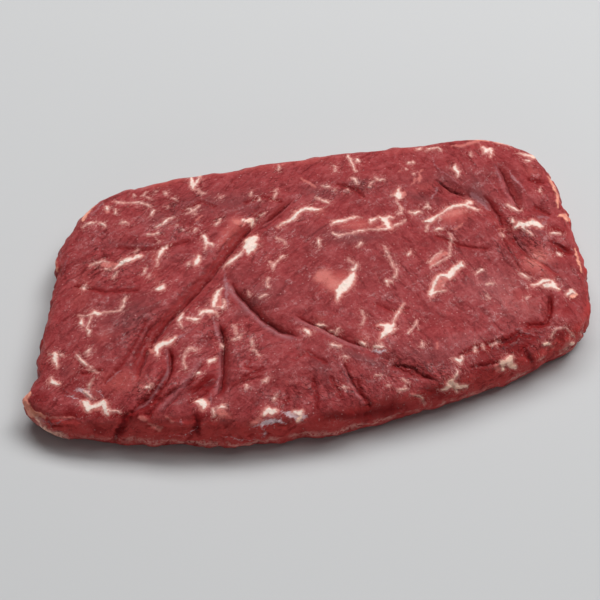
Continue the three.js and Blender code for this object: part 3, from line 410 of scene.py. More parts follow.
# Pale lilac film over the muscle, soft at its edges
FILM = [
    [(-38.4, 0, 0.5), (-37.8, -6, 1.1), (-37, -11, 1.2), (-36.5, -18, 1), (-36, -24, 0.7)],
    [(-57.5, -39.5, 1.1), (-54, -37, 1.1), (-51.6, -35, 0.7), (-50.4, -32.5, 0.4)],
    [(-42.4, -27.5, 0.5), (-41.3, -33, 0.9), (-40.3, -38, 0.8)],
    [(-40.3, 22, 0.4), (-39.5, 17, 0.5), (-38.8, 11.8, 0.6)], [(-44, 13.2, 0.3), (-41.6, 10.6, 0.3)],
    [(-103, -66.5, 0.3), (-100.5, -68, 0.5), (-98.3, -69, 0.5)],
    [(-79.6, -56, 0.5), (-82.5, -58.6, 0.9), (-84.5, -62, 0.9), (-87, -64.6, 0.5)],
    [(-42, -67.5, 0.4), (-41.6, -71, 0.9), (-41.8, -74.6, 0.5)], [(-54.4, -80.5, 0.3), (-53.3, -83.5, 0.9)],
    [(-72.5, -29.5, 0.2), (-74, -36, 0.25), (-76.6, -43.5, 0.2)],
    [(-69, -29, 0.2), (-71, -35, 0.3), (-72, -40, 0.2)],
    [(102, -38.8, 0.35), (103, -35.6, 0.35), (105, -33.3, 0.35), (108.7, -33.2, 0.35), (110.2, -36, 0.3),
     (111.7, -38.4, 0.3)], [(100.3, -38.8, 0.4), (102, -39.3, 0.4)],
    [(86, -33, 0.5), (90, -35.4, 0.7), (95.5, -37.6, 0.6), (99, -38, 0.4)],
    [(72.4, -35.6, 0.3), (74.5, -38.6, 0.25)], [(54.3, -59.8, 0.3), (56, -57.6, 0.5)],
    [(25, -46, 0.9), (27.5, -46.4, 1), (29.3, -46.6, 0.8)], [(27.5, -47.8, 0.7)],
    [(10, -43.6, 0.4), (14, -47, 0.5), (18, -49.6, 0.5), (21, -51.2, 0.4), (27, -53.4, 0.35)],
    [(25, -63.8, 0.2), (32, -63.6, 0.2), (41, -64.4, 0.2), (49, -66, 0.2)],
    [(57, 70, 0.5), (57.5, 64.5, 0.7), (60, 60.5, 0.6), (64, 57, 0.6), (68, 52, 0.6)],
    [(80.4, 57, 0.5), (83.5, 51.5, 0.6), (86.6, 45.5, 0.5)],
    [(85.4, 64, 0.4), (87.3, 56, 0.7), (88, 50.6, 0.4)],
    [(91.4, 62, 0.4), (93.3, 56, 1.1), (96.3, 51.6, 1), (98.3, 48, 0.6)],
    [(74, 45, 1.8), (78, 40, 1.8), (80.5, 36, 1.2)], [(58, 49, 0.9), (57, 46, 0.9), (55, 43, 0.8)],
    [(79, 30, 0.5), (82.6, 24, 0.6), (85, 18, 0.4)], [(104.4, 26.5, 1.2), (107, 31, 0.8), (103, 31.5, 1)],
    [(102.5, 22.8, 0.5), (105.7, 22.2, 0.5)], [(106.6, 17.4, 0.3), (110, 16, 0.35), (113.4, 13.4, 0.35)],
    [(103.4, 66, 0.3), (105.5, 63, 0.3), (109.6, 60, 0.25)],
    [(-95, 40, 0.9), (-96.5, 37, 1), (-98, 34.4, 0.7), (-100.4, 31, 0.4)],
    [(-108, 8, 0.5), (-108.6, 2, 0.8), (-109.3, -4, 0.4)],
    [(-111.6, 16.5, 0.4), (-111.5, 11, 0.5), (-110.6, 5, 0.4), (-109.6, 1, 0.3)],
    [(-94.8, 13.5, 0.5), (-93, 13.9, 0.4)], [(-111, -10, 0.4), (-112, -15, 0.4), (-113.2, -20, 0.3)],
    [(-113.6, -28, 0.3), (-113.1, -34, 0.4), (-114.6, -39, 0.3)],
    [(-112, -81, 0.9), (-109, -83, 1), (-106, -83.6, 0.8), (-102, -82, 0.5), (-98.5, -81.4, 0.3)],
    [(-97, -79, 0.3), (-96, -81.5, 0.5), (-94, -82.6, 0.3)],
    [(109.4, -16, 0.3), (113, -19.4, 0.35), (115.8, -22, 0.4)],
]

# Silvery film, torn into wisps
SILVER = [
    [(-98.5, -67.2, 0.7), (-96.4, -66.2, 1.4), (-94.3, -67.4, 1.8), (-92.6, -68.6, 1.7),
     (-91.2, -70.6, 1.4)], [(-102, -69.5, 0.4), (-99, -70, 0.8), (-96, -71.6, 0.7)],
    [(-90, -66, 0.4), (-88, -67.5, 0.7), (-86.6, -70, 0.4)],
    [(-12.5, -78, 0.8), (-9, -79, 1.9), (-5, -80.6, 2.4), (-2, -80, 0.9)],
    [(-25, -85.6, 0.5), (-21, -84, 1.3), (-17.6, -82.6, 2.1), (-14, -82.6, 1.6), (-11, -84, 0.6)],
    [(-20, -86, 0.4), (-19, -89, 0.8), (-21, -92, 0.4)],
    [(-47, -87, 0.3), (-52, -89.5, 0.6), (-58, -90, 0.4)],
    [(-36, -90, 0.3), (-28, -91.5, 0.6), (-22, -91, 0.4)],
    [(26, -45.6, 1.1), (28.6, -46.2, 1.4), (31, -45.6, 0.8)],
    [(104, -33.6, 0.5), (107, -33.2, 0.7), (109.5, -34, 0.5)],
]

# Thin orange tissue along the rim
ORANGE = [
    [(-114, 24, 0.8), (-115.6, 18, 1.7), (-115.4, 10, 1.8), (-113.4, 4, 1.2), (-112, -1, 0.6)],
    [(-97.8, 41, 0.8), (-100.6, 36, 1.1), (-102.6, 31.6, 1.1), (-103, 29, 0.6)],
    [(-117.5, -68.5, 1.2), (-119.5, -72, 2.2), (-117.6, -76, 2), (-114.2, -78.6, 1.3), (-110, -80.5, 0.7)],
    [(109.3, 57, 0.3), (111.4, 50, 0.6), (112.7, 44, 0.8), (112.2, 37, 0.4)],
    [(112.4, 32, 0.8), (114.6, 32.2, 1.1), (115.8, 29, 0.8)],
    [(117.4, 12, 0.3), (117.9, 5, 0.6), (119, -2, 0.3)], [(114.6, -14.6, 1), (113, -16, 0.8)],
    [(70, 80.9, 0.3), (78, 80.9, 0.4), (84, 80.3, 0.3)],
]

# Broad changes of tone, partly painted shade, on the plan: middle, half lengths, turn in degrees, strength
ROSY = [
    ((8, -6), (7, 5), 55, 1), ((12, -7), (3, 6), -35, 0.8), ((20, 26.3), (9, 3.6), 8, 1),
    ((65, 32), (9, 5), 15, 1), ((-69, 6), (2.5, 8), 10, 0.6), ((-89, -38), (5, 4), 20, 0.6),
    ((-33, 27), (5, 4), -50, 0.8), ((4, -28.5), (3, 3), 0, 0.7), ((22, -38), (3.5, 4), 10, 0.6),
    ((3.5, 33), (3.5, 3), 30, 0.6), ((57, -8), (4, 5), 30, 0.7), ((-67.5, -7), (2, 6), 10, 0.5),
    ((52, 50), (6, 3), 20, 0.6), ((100, 6), (7, 8), -30, 1.1), ((-37, 20), (3.5, 7), -25, 1.5),
    ((-84, 20), (3, 5), 0, 0.3), ((80, 77), (12, 2.5), 0, 0.5), ((86, -14), (8, 14), -10, 0.45),
    ((95, -22), (6, 8), 0, 0.4), ((-100, -55), (3, 5), 20, 0.4), ((-36, -80), (5, 3), 0, 0.7),
    ((-50, -30), (9, 6), 20, 0.3), ((73, -48), (5, 3), 0, -0.4), ((-35, 60), (30, 2.5), 12, 0.5),
    ((0, 67), (20, 3), 10, 0.5), ((45, 74), (15, 2.5), 9, 0.5), ((-70, 52), (14, 2.5), 15, 0.7),
    ((103, 60), (6, 4), -30, 0.6), ((100, -2), (9, 2.5), -25, 0.6), ((-80, -62), (11, 7), 10, 0.8),
    ((-100, -6), (6, 12), 0, 0.4), ((-100, -20), (5, 8), 0, 0.3),
]
BLUSH = [
    ((4.5, -3.5), (5, 3.2), 50, 1), ((9.5, -8.5), (4, 4.5), 40, 1), ((65, 33.5), (8, 2.6), 15, 0.9),
    ((-89, 3), (4.5, 2.6), 10, 0.6), ((22, 26.2), (7, 2), 8, 0.5), ((-33, 28.5), (4, 2.2), -15, 0.7),
    ((-36.5, -79), (4, 2.6), 0, 0.7), ((57, -9), (2.5, 4), 30, 0.5), ((-39.6, -17), (1.4, 4), 5, 0.5),
    ((24, -38.5), (2.4, 2.4), 0, 0.5), ((5, 34.5), (3, 1.6), 20, 0.5), ((104, 28.5), (4, 2), 0, 0.4),
    ((-47, 22.5), (1.6, 2.6), 20, 0.4), ((-50.8, -1), (1.6, 2.4), 0, 0.4), ((98, 3), (5, 4), -25, 0.6),
    ((101, 8), (5, 5), -30, 0.7), ((-24, -84), (5, 2.4), 15, 0.5),
]
# Dull mauve tone, and painted shade in creases and valleys
DULL_AND_SHADED = [
    ((-27, -22), (3, 8), -42, 0.9), ((-17, -34), (3, 9), 48, 0.6), ((20, -49), (12, 2.2), -30, 0.9),
    ((78, 43), (7, 4), -50, 1), ((-40, 41), (14, 6), -12, 0.6), ((-55, 38), (10, 7), 0, 0.3),
    ((2, 47), (8, 4), -20, 0.6), ((50, 43), (8, 3), -15, 0.8), ((-79, 13), (16, 3), -4, 0.6),
    ((12, 21), (14, 4), -5, 0.6), ((22, 18), (14, 3), 10, 0.5), ((-22, -12), (12, 10), 0, 0.4),
    ((-84, -28), (10, 8), 20, 0.4), ((45, -48), (16, 5), 0, 0.5), ((-36, -60), (2.5, 12), 0, 0.5),
    ((5, -55), (4, 8), 20, 0.6), ((50, 54), (9, 5), 0, 0.4), ((63, 55), (4, 6), 30, 0.6),
    ((105, 33), (3, 5), 0, 0.4), ((-28, 47), (7, 10), 0, 0.3), ((75, 51), (6, 7), 0, 0.5),
    ((100, 22), (6, 3), 0, 0.5), ((-52, -70), (4, 6), -30, 0.4), ((22, 52), (5, 3), 15, 0.9),
    ((-75, -24), (6, 10), -25, 0.4), ((-103, -56), (3, 4), 0, 0.5), ((-70, 31), (7, 5), 0, 0.4),
]
# Deep wet red, with painted shade in pockets, folds and hollows
DEEP_RED_AND_SHADE = [
    ((95, -31.6), (5.5, 2.4), 8, 1.4), ((84, -41.5), (14, 3.2), 14, 1.1), ((88, -39), (6, 3), 10, 0.9),
    ((75, -47), (9, 4), 12, 0.9), ((70, -57), (8, 4), 15, 0.7), ((-43, -63), (4.5, 2.6), 50, 2.4),
    ((104, 55), (4, 2.2), -20, 0.8), ((105, 35.5), (4.5, 3), -10, 0.6), ((110, 24), (5, 2.5), -15, 0.8),
    ((112, 11), (4, 3), 0, 1.4), ((107, -37), (3, 3), 0, 0.6), ((30, -77), (14, 4), 12, 0.9),
    ((-80, -79.5), (14, 2.2), 0, 0.9), ((-66, -66), (2.5, 3.5), 0, 0.8), ((-100, -79), (8, 3), 0, 0.6),
    ((53, -68), (7, 4), 15, 0.9), ((110, -22), (3, 6), 0, 0.6), ((22, 51.6), (3, 1.4), 10, 0.7),
    ((-77, -85), (1.5, 6), -20, 1.2), ((-47.5, -85), (1.5, 5), -25, 1.1), ((98, -4), (12, 2.4), -22, 0.5),
    ((88, 24), (3, 6), 0, 0.6), ((-66, -36), (3, 10), -28, 0.5), ((114, -16), (3, 3), 0, 0.8),
    ((87, -45), (9, 3), 20, 0.8), ((-112, -70), (5, 5), 0, 0.5), ((10, -80), (14, 2.5), 5, 0.7),
    ((-45, -80), (10, 2), 0, 0.5), ((-70, -74), (3, 4), -35, 0.7), ((-18, -84), (9, 2), 0, 0.4),
]

# Where the lean is crumpled, and where it shines
CRINKLED = [
    ((85, -42), (26, 9), 25, 0.8), ((5, -66), (40, 9), 8, 0.9), ((22, 50), (12, 4), 10, 1),
    ((-88, 2), (18, 12), 0, 0.7), ((95, 15), (10, 22), 20, 0.8), ((-35, -40), (14, 10), 0, 0.6),
    ((-70, 38), (18, 6), 10, 0.6), ((-66, -66), (16, 8), 20, 0.7), ((45, -55), (22, 6), -25, 0.8),
    ((-55, 25), (16, 6), 10, 0.5), ((60, 48), (10, 5), 0, 0.8), ((-76, -36), (8, 14), -20, 0.7),
]
GLOSSY = [
    ((78, -10), (10, 8), 0, 1), ((90, -20), (8, 8), 0, 0.6), ((-80, -62), (10, 6), 0, 0.5),
    ((60, -38), (16, 4), -15, 0.5), ((98, 8), (8, 5), -30, 0.6), ((20, -70), (12, 3), 10, 0.5),
    ((95, 58), (5, 8), 0, 0.4), ((-20, -80), (14, 2.5), 5, 0.5),
]

STROKES = {"fat": CREAM, "salmon": SALMON, "veil": FILM, "silver": SILVER, "fold": FOLDS, "orange": ORANGE}
PATCHES = {
    "rosy": ROSY, "blush": BLUSH, "dusky": DULL_AND_SHADED, "bloody": DEEP_RED_AND_SHADE, "crinkled": CRINKLED, "glossy": GLOSSY,
}

# Relief of strokes: it grows from the first depth inside the stroke to the second.
# The third number is a share of the fat's height in FAT_RELIEF, and a height in mm in STROKE_RELIEF.
FAT_RELIEF = {"fat": (-0.35, 0.35, 1.0), "salmon": (-0.3, 0.4, 0.6), "orange": (-0.3, 0.4, 0.5)}
STROKE_RELIEF = {"veil": (-0.3, 0.3, 0.08), "fold": (-1.2, 0.5, -0.6)}
SEAM_FILM_HEIGHT = 0.35
DEEP_RED_AND_SHADE_DEPTH = 0.35
SIDE_BULGE = 0.35

# The material's noises: lump size in mm, turn in degrees, shift, detail, roughness, distortion
PATTERNS = {
    "broad": ((24.0, 15.0, 15.0), 20.0, 0.0, 3.0, 0.55, 0.0),
    "cloudy": ((6.5, 4.5, 4.5), 35.0, 0.0, 3.0, 0.6, 0.6),
    "left_streak": ((9.0, 3.4, 4.0), 47.0, 0.0, 2.0, 0.5, 0.9),
    "right_streak": ((9.0, 3.4, 4.0), -58.0, 0.0, 2.0, 0.5, 0.9),
    "grain": ((1.3, 1.1, 1.2), 40.0, 0.0, 3.0, 0.6, 0.3),
    "fine": ((0.75, 0.55, 0.6), -30.0, 0.0, 1.0, 0.5, 0.0),
    "patchy": ((13.0, 9.0, 9.0), 60.0, 40.0, 2.0, 0.5, 0.0),
    "crumple": ((4.0, 2.2, 2.6), -25.0, 15.0, 4.0, 0.6, 0.8),
    "long_fleck": ((24.0, 8.0, 8.0), 62.0, 30.0, 3.0, 0.5, 1.2),
    "short_fleck": ((15.0, 6.0, 7.0), -28.0, 80.0, 3.0, 0.5, 1.2),
    "wisp": ((3.0, 0.8, 1.2), 35.0, 0.0, 3.0, 0.6, 0.8),
}
# Thin lines: lump size in mm, turn and shift at the left, turn and shift at the right, width
RIDGES = {
    "crease": ((9.0, 3.0, 4.0), (52.0, 0.0), (-56.0, 70.0), 0.02),
    "thread": ((6.0, 1.9, 2.5), (44.0, 25.0), (-64.0, 90.0), 0.016),
}
# Tones laid over the deep lean: colour, noise, where it begins, where it is full, strength
LEAN_TONES = (
    ("lean", "streak", 0.3, 0.5, 1.0), ("pale_lean", "streak", 0.52, 0.72, 0.5),
    ("pale_lean", "cloudy", 0.52, 0.74, 0.4), ("deep_lean", "cloudy", 0.45, 0.28, 0.5),
    ("deep_lean", "broad", 0.5, 0.34, 0.35),
    ("pale_lean", "mottle", 0.52, 0.7, 0.45), ("deep_lean", "mottle", 0.46, 0.3, 0.5),
    ("pale_lean", "grain", 0.52, 0.74, 0.4), ("deep_lean", "grain", 0.47, 0.3, 0.4),
    ("pale_lean", "fine", 0.58, 0.78, 0.4),
    # Over the crumples: painted light on their tops and painted shade in their hollows
    ("rosy", "crumple", 0.53, 0.66, 0.45), ("deep_lean", "crumple", 0.47, 0.36, 0.8),
)
# Height of each map in the bump, in mm
BUMP_HEIGHTS = {
    "grain": 0.24, "fine": 0.08, "cloudy": 0.4, "streak": 0.4, "mottle": 0.35, "crumple": 1.6, "fat": 0.06,
    "thread": 0.08, "painted_glint": 0.1, "crease": -0.3,
}
MEAT_CONSTANTS = {
    "Specular IOR Level": 0.035, "Subsurface Weight": 0.1, "Subsurface Radius": (1.0, 0.3, 0.2),
    "Subsurface Scale": 0.0015, "Coat Roughness": 0.14,
}
FLOOR_CONSTANTS = {"Roughness": 0.85, "Specular IOR Level": 0.1}


def smooth(low, high, value):
    share = np.clip((value - low) / (high - low), 0.0, 1.0)
    return share * share * (3.0 - 2.0 * share)


def bell(distance, width):
    return np.exp(-((distance / width) ** 2))


def noise_at(points, size, seed):
    """Smooth noise of about -1 to 1 with lumps of the given size."""
    shift = Vector((seed * 17.3, seed * 5.1, seed * 29.7))
    return np.array([noise.noise(Vector(point) / size + shift) for point in points])


def layered_noise(points, layers):
    return sum(height * noise_at(points, size, seed) for height, size, seed in layers)


def flat_noise(points, squeeze, size, seed):
    """Smooth noise whose lumps lie flatter."""
    return noise_at(points * (1.0, 1.0, squeeze), size, seed)


def route_distance(points, route):
    """Signed distance of each point from a route, positive on its left, and the way gone and left."""
    best = np.full(len(points), np.inf)
    signed = np.zeros(len(points))
    gone = np.zeros(len(points))
    walked = 0.0
    for start, end in zip(route[:-1], route[1:]):
        span = np.subtract(end, start)
        length = math.hypot(*span)
        unit = span / length
        offset = points - start
        step = np.clip(offset @ unit, 0.0, length)
        gap = offset - step[:, None] * unit
        size = np.hypot(gap[:, 0], gap[:, 1])
        side = np.where(unit[0] * gap[:, 1] - unit[1] * gap[:, 0] >= 0.0, 1.0, -1.0)
        closer = size < best
        best[closer] = size[closer]
        signed[closer] = (side * size)[closer]
        gone[closer] = walked + step[closer]
        walked += length
    return signed, gone, walked - gone


def stroke_depth(points, strokes):
    """How far inside the nearest stroke each point is, and how strongly that stroke glows through there."""
    depth = np.full(len(points), -STROKE_REACH)
    glow = np.zeros(len(points))
    for stroke in strokes:
        path = stroke if len(stroke) > 1 else stroke * 2
        corners = np.array(path)
        low = corners[:, :2].min(0) - STROKE_REACH
        high = corners[:, :2].max(0) + STROKE_REACH
        chosen = np.nonzero(np.all((points > low) & (points < high), axis=1))[0]
        broad = min(1.0, corners[:, 2].max() / BROAD_STROKE)
        for (ax, ay, ar), (bx, by, br) in zip(path[:-1], path[1:]):
            span = np.array((bx - ax, by - ay))
            offset = points[chosen] - (ax, ay)
            share = np.clip(offset @ span / max(span @ span, 1e-9), 0.0, 1.0)
            gap = offset - share[:, None] * span
            inside = ar + (br - ar) * share - np.hypot(gap[:, 0], gap[:, 1])
            depth[chosen] = np.maximum(depth[chosen], inside)
            glow[chosen] = np.maximum(glow[chosen], broad * np.exp(np.minimum(inside, 0.0) / GLOW_FADE))
    return depth, glow


def patches(points, spots):
    """Sum of soft oval patches at each point."""
    total = np.zeros(len(points))
    for (x, y), (along, across), turn, strength in spots:
        angle = math.radians(turn)
        dx = points[:, 0] - x
        dy = points[:, 1] - y
        u = dx * math.cos(angle) + dy * math.sin(angle)
        v = dy * math.cos(angle) - dx * math.sin(angle)
        total += strength * bell(u, along) * bell(v, across)
    return total


def camera_place():
    """Where the camera stands, in millimetres."""
    back = np.array((0.0, -math.cos(CAMERA_ELEVATION), math.sin(CAMERA_ELEVATION)))
    return np.array(LOOK_AT) + CAMERA_DISTANCE * back


def on_plan(places):
    """Each place laid on the plan, along its line to the camera."""
    eye = camera_place()
    reach = (eye[2] - PLAN_HEIGHT) / (eye[2] - places[:, 2])
    laid = eye[:2] + (places[:, :2] - eye[:2]) * reach[:, None]
    return laid - PLAN_MIDDLE


def facing_camera(places, normals):
    """Cosine of the angle between each normal and the line to the camera."""
    to_eye = camera_place() - places
    to_eye /= np.linalg.norm(to_eye, axis=1)[:, None]
    return np.einsum("ij,ij->i", normals, to_eye)


def vert_places(bm):
    return np.array([vert.co for vert in bm.verts]) / MM


def vert_normals(bm):
    bm.normal_update()
    return np.array([vert.normal for vert in bm.verts])


def make_cage():
    """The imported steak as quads, with its underside open."""
    bm = bmesh.new()
    bm.from_mesh(frame["nodes"][NODE].data)
    bmesh.ops.remove_doubles(bm, verts=bm.verts, dist=WELD)
    underside = [face for face in bm.faces if max(vert.co.z for vert in face.verts) < WELD]
    bmesh.ops.delete(bm, geom=underside, context="FACES")
    bmesh.ops.join_triangles(
        bm, faces=bm.faces[:], topology_influence=2.0,
        angle_face_threshold=math.pi, angle_shape_threshold=math.pi,
    )
    return bm


def smooth_cage(bm, levels):
    """The cage after a Subdivision Surface, as a bmesh."""
    mesh = bpy.data.meshes.new("cage")
    bm.to_mesh(mesh)
    bm.free()
    obj = bpy.data.objects.new("cage", mesh)
    bpy.context.scene.collection.objects.link(obj)
    surface = obj.modifiers.new("smooth", "SUBSURF")
    surface.levels = levels
    surface.render_levels = levels
    evaluated = obj.evaluated_get(bpy.context.evaluated_depsgraph_get())
    fine = bmesh.new()
    fine.from_mesh(evaluated.to_mesh())
    evaluated.to_mesh_clear()
    bpy.data.objects.remove(obj)
    bpy.data.meshes.remove(mesh)
    return fine


def close_underside(bm):
    """Rings of faces from the foot in to a spine under the middle of the steak."""
    (ax, ay), (bx, by) = UNDERSIDE_SPINE
    start = Vector((ax, ay, 0.0)) * MM
    span = Vector((bx - ax, by - ay, 0.0)) * MM
    edges = [edge for edge in bm.edges if edge.is_boundary]
    for edge in edges:
        for vert in edge.verts:
            vert.co.z = 0.0
    for ring in range(UNDERSIDE_RINGS):
        made = bmesh.ops.extrude_edge_only(bm, edges=edges)["geom"]
        edges = [item for item in made if isinstance(item, bmesh.types.BMEdge) and item.is_boundary]
        share = 1.0 / (UNDERSIDE_RINGS + 0.6 - ring)
        for vert in {vert for edge in edges for vert in edge.verts}:
            along = max(0.0, min(1.0, (vert.co - start).dot(span) / span.length_squared))
            vert.co = vert.co.lerp(start + along * span, share)
    bmesh.ops.contextual_create(bm, geom=edges)
    bmesh.ops.recalc_face_normals(bm, faces=bm.faces[:])


def refine(bm, margin):
    """Splits the shown faces that carry fat, film or a crack, and those within a margin of them."""
    bm.verts.ensure_lookup_table()
    bm.verts.index_update()
    normals = vert_normals(bm)
    places = vert_places(bm)
    plan = on_plan(places)
    busy = np.zeros(len(places), bool)
    for strokes in STROKES.values():
        busy |= stroke_depth(plan, strokes)[0] > -margin
    flat = places[:, :2] - PLAN_MIDDLE
    for seam in SEAMS:
        signed, gone, left = route_distance(flat, seam["route"])
        near = np.abs(signed - seam["crack"][0]) < REFINE_CRACK * margin
        busy |= near & (gone > 0.5) & (left > 0.5)
    busy &= facing_camera(places, normals) > 0.0
    edges = {edge for vert in bm.verts if busy[vert.index] for edge in vert.link_edges}
    bmesh.ops.subdivide_edges(bm, edges=list(edges), cuts=1, use_grid_fill=True, smooth=0.0)
    bmesh.ops.triangulate(bm, faces=[face for face in bm.faces if len(face.verts) > 4])


def seam_fields(flat, places):
    """Dark wall, pale film and crack of every seam at each point of the cut face; the wall is deep red with
    painted shade, the crack a dent painted dark as shade.
    """
    wall = np.zeros(len(flat))
    film = np.zeros(len(flat))
    crack = np.zeros(len(flat))
    wander = layered_noise(places, SEAM_LUMPS)
    for seam in SEAMS:
        signed, gone, left = route_distance(flat, seam["route"])
        signed = signed + wander
        fade = smooth(0.0, SEAM_FADE, gone) * smooth(0.0, SEAM_FADE, left)
        across = signed / seam["wall"]
        shade = smooth(*WALL_START, across) * (1.0 - smooth(*WALL_END, across))
        wall = np.maximum(wall, seam["dark"] * fade * shade)
        place, width, strength = seam.get("film", NO_LINE)
        film = np.maximum(film, strength * fade * bell(signed - place, width * FILM_SPREAD))
        for place, width, strength in (seam["crack"], seam.get("edge", NO_LINE)):
            crack = np.maximum(crack, strength * fade * bell(signed - place, width))
    return wall, film, crack


def work_out_fields(places, normals):
    """What the relief and the material read at each point: depths in mm, and shares of about 0 to 1."""
    shown = smooth(*SHOWN, facing_camera(places, normals)) * (places[:, 2] > FOOT_EDGE)
    upward = smooth(*UPWARD, normals[:, 2])
    level = np.abs(normals[:, 2])
    flat = places[:, :2] - PLAN_MIDDLE
    ragged = np.stack([layered_noise(places, RAGGED_EAST), layered_noise(places, RAGGED_NORTH)], axis=1)
    plan = on_plan(places) + RAGGED_REACH * ragged
    wall, film, crack = seam_fields(flat, places)
    fields = {
        "hidden": 1.0 - shown,
        "slope": 1.0 - smooth(*SLOPING, level),
        "side": 1.0 - smooth(*UPRIGHT, level),
        # Upper part of the walls that face the camera, where painted light goes
        "ledge": smooth(*PAINTED_LIGHT_LEDGE, places[:, 2]) * (1.0 - upward) * shown,
        "right": smooth(*RIGHT, flat[:, 0] - RIGHT_SLANT * flat[:, 1]),
        "foot": bell(places[:, 2] - HEM_LEVEL - layered_noise(places, HEM_LUMPS), 1.0),
        "seam_wall": wall * upward, "seam_film": film * upward, "crack": crack * upward,
    }
    for name, strokes in STROKES.items():
        depth, glow = stroke_depth(plan, strokes)
        fields[name] = np.where(shown > 0.5, depth, -STROKE_REACH)
        if name == "fat":
            fields["glow"] = glow * shown
    for name, spots in PATCHES.items():
        fields[name] = patches(plan, spots) * shown
    return fields


def relief(places, fields, settings):
    """How far each point moves along its normal, in mm."""
    folds = sum(height * flat_noise(places, *lumps) for height, *lumps in SIDE_FOLDS)
    depth, *lumps = CREVICES
    crevice = depth * bell(flat_noise(places, *lumps), CREVICE_WIDTH)
    crumple = sum(height * np.abs(noise_at(places, size, seed)) for height, size, seed in CRUMPLES)
    crumple -= CRUMPLE_FLOOR
    rise = layered_noise(places, LUMPS) + np.clip(fields["crinkled"], 0.0, 1.0) * crumple
    rise += fields["side"] * (SIDE_BULGE + folds + crevice)
    for name, (low, high, share) in FAT_RELIEF.items():
        rise += share * settings.fat_height * smooth(low, high, fields[name])
    for name, (low, high, height) in STROKE_RELIEF.items():
        rise += height * smooth(low, high, fields[name])
    rise += SEAM_FILM_HEIGHT * fields["seam_film"]
    rise -= settings.crack_depth * fields["crack"]
    rise -= DEEP_RED_AND_SHADE_DEPTH * np.clip(fields["bloody"], 0.0, 1.0)
    return rise * smooth(*RISE, places[:, 2])


def dress(bm, settings):
    """Moves the fine mesh into its relief, and returns the fields that its material reads."""
    places = vert_places(bm)
    normals = vert_normals(bm)
    fields = work_out_fields(places, normals)
    moved = places + relief(places, fields, settings)[:, None] * normals
    moved[:, 2] = np.maximum(moved[:, 2], 0.0)
    for vert, place in zip(bm.verts, moved):
        vert.co = place * MM
    return fields


def store_fields(mesh, fields):
    for name, values in fields.items():
        layer = mesh.attributes.new(name, "FLOAT", "POINT")
        layer.data.foreach_set("value", np.ascontiguousarray(values, dtype=np.float32))


class Nodes:
    """Short ways to add and join shader nodes."""

    def __init__(self, tree):
        self.tree = tree

    def add(self, kind, inputs=(), **settings):
        node = self.tree.nodes.new(kind)
        for name, value in settings.items():
            setattr(node, name, value)
        for socket, value in dict(inputs).items():
            self.put(node.inputs[socket], value)
        return node

    def put(self, socket, value):
        if isinstance(value, bpy.types.NodeSocket):
            self.tree.links.new(value, socket)
        else:
            socket.default_value = value

    def math(self, operation, first, second):
        return self.add("ShaderNodeMath", {0: first, 1: second}, operation=operation).outputs[0]

    def sum(self, first, second):
        return self.math("ADD", first, second)

    def product(self, first, second):
        return self.math("MULTIPLY", first, second)

    def offset(self, value, middle, factor):
        """How far a value is from a middle, times a factor."""
        return self.product(self.math("SUBTRACT", value, middle), factor)

    def field(self, name):
        return self.add("ShaderNodeAttribute", attribute_name=name).outputs["Fac"]

    def noise(self, vector, scale, detail, roughness=0.5, distortion=0.0):
        inputs = {"Vector": vector, "Scale": scale, "Detail": detail}
        inputs.update({"Roughness": roughness, "Distortion": distortion})
        return self.add("ShaderNodeTexNoise", inputs).outputs["Fac"]

    def step(self, value, low, high, start=0.0, end=1.0):
        inputs = {"Value": value, "From Min": low, "From Max": high, "To Min": start, "To Max": end}
        return self.add("ShaderNodeMapRange", inputs, interpolation_type="SMOOTHSTEP").outputs["Result"]

    def blend(self, first, second, share):
        inputs = {"Factor": share, "A": first, "B": second}
        return self.add("ShaderNodeMix", inputs, data_type="FLOAT").outputs[0]

    def over(self, base, color, mask):
        node = self.add("ShaderNodeMix", {"Factor": mask}, data_type="RGBA")
        self.put(node.inputs[6], base)
        self.put(node.inputs[7], color)
        return node.outputs[2]

    def lay(self, vector, size, turn, shift):
        """Coordinates in which one unit is the given size in mm, the first of them along the turned way."""
        inputs = {"Vector": vector, "Scale": size, "Location": (shift,) * 3}
        inputs["Rotation"] = (0.0, 0.0, math.radians(turn))
        return self.add("ShaderNodeMapping", inputs, vector_type="TEXTURE").outputs["Vector"]

    def ridge(self, vector, width):
        """Thin lines where a noise crosses its middle."""
        middle = self.math("SUBTRACT", self.noise(vector, 1.0, 3.0, 0.55, 0.5), 0.5)
        return self.step(self.math("ABSOLUTE", middle, 0.0), 0.0, width, 1.0, 0.0)


class Paint:
    """A colour built up tone over tone, from the colours of the settings."""

    def __init__(self, nodes, settings, tone):
        self.nodes = nodes
        self.settings = settings
        self.color = self.tone(tone)

    def tone(self, name):
        return color(getattr(self.settings, name))

    def add(self, tone, mask, strength=1.0):
        self.color = self.nodes.over(self.color, self.tone(tone), self.nodes.product(mask, strength))


def color(values):
    return (*values, 1.0)


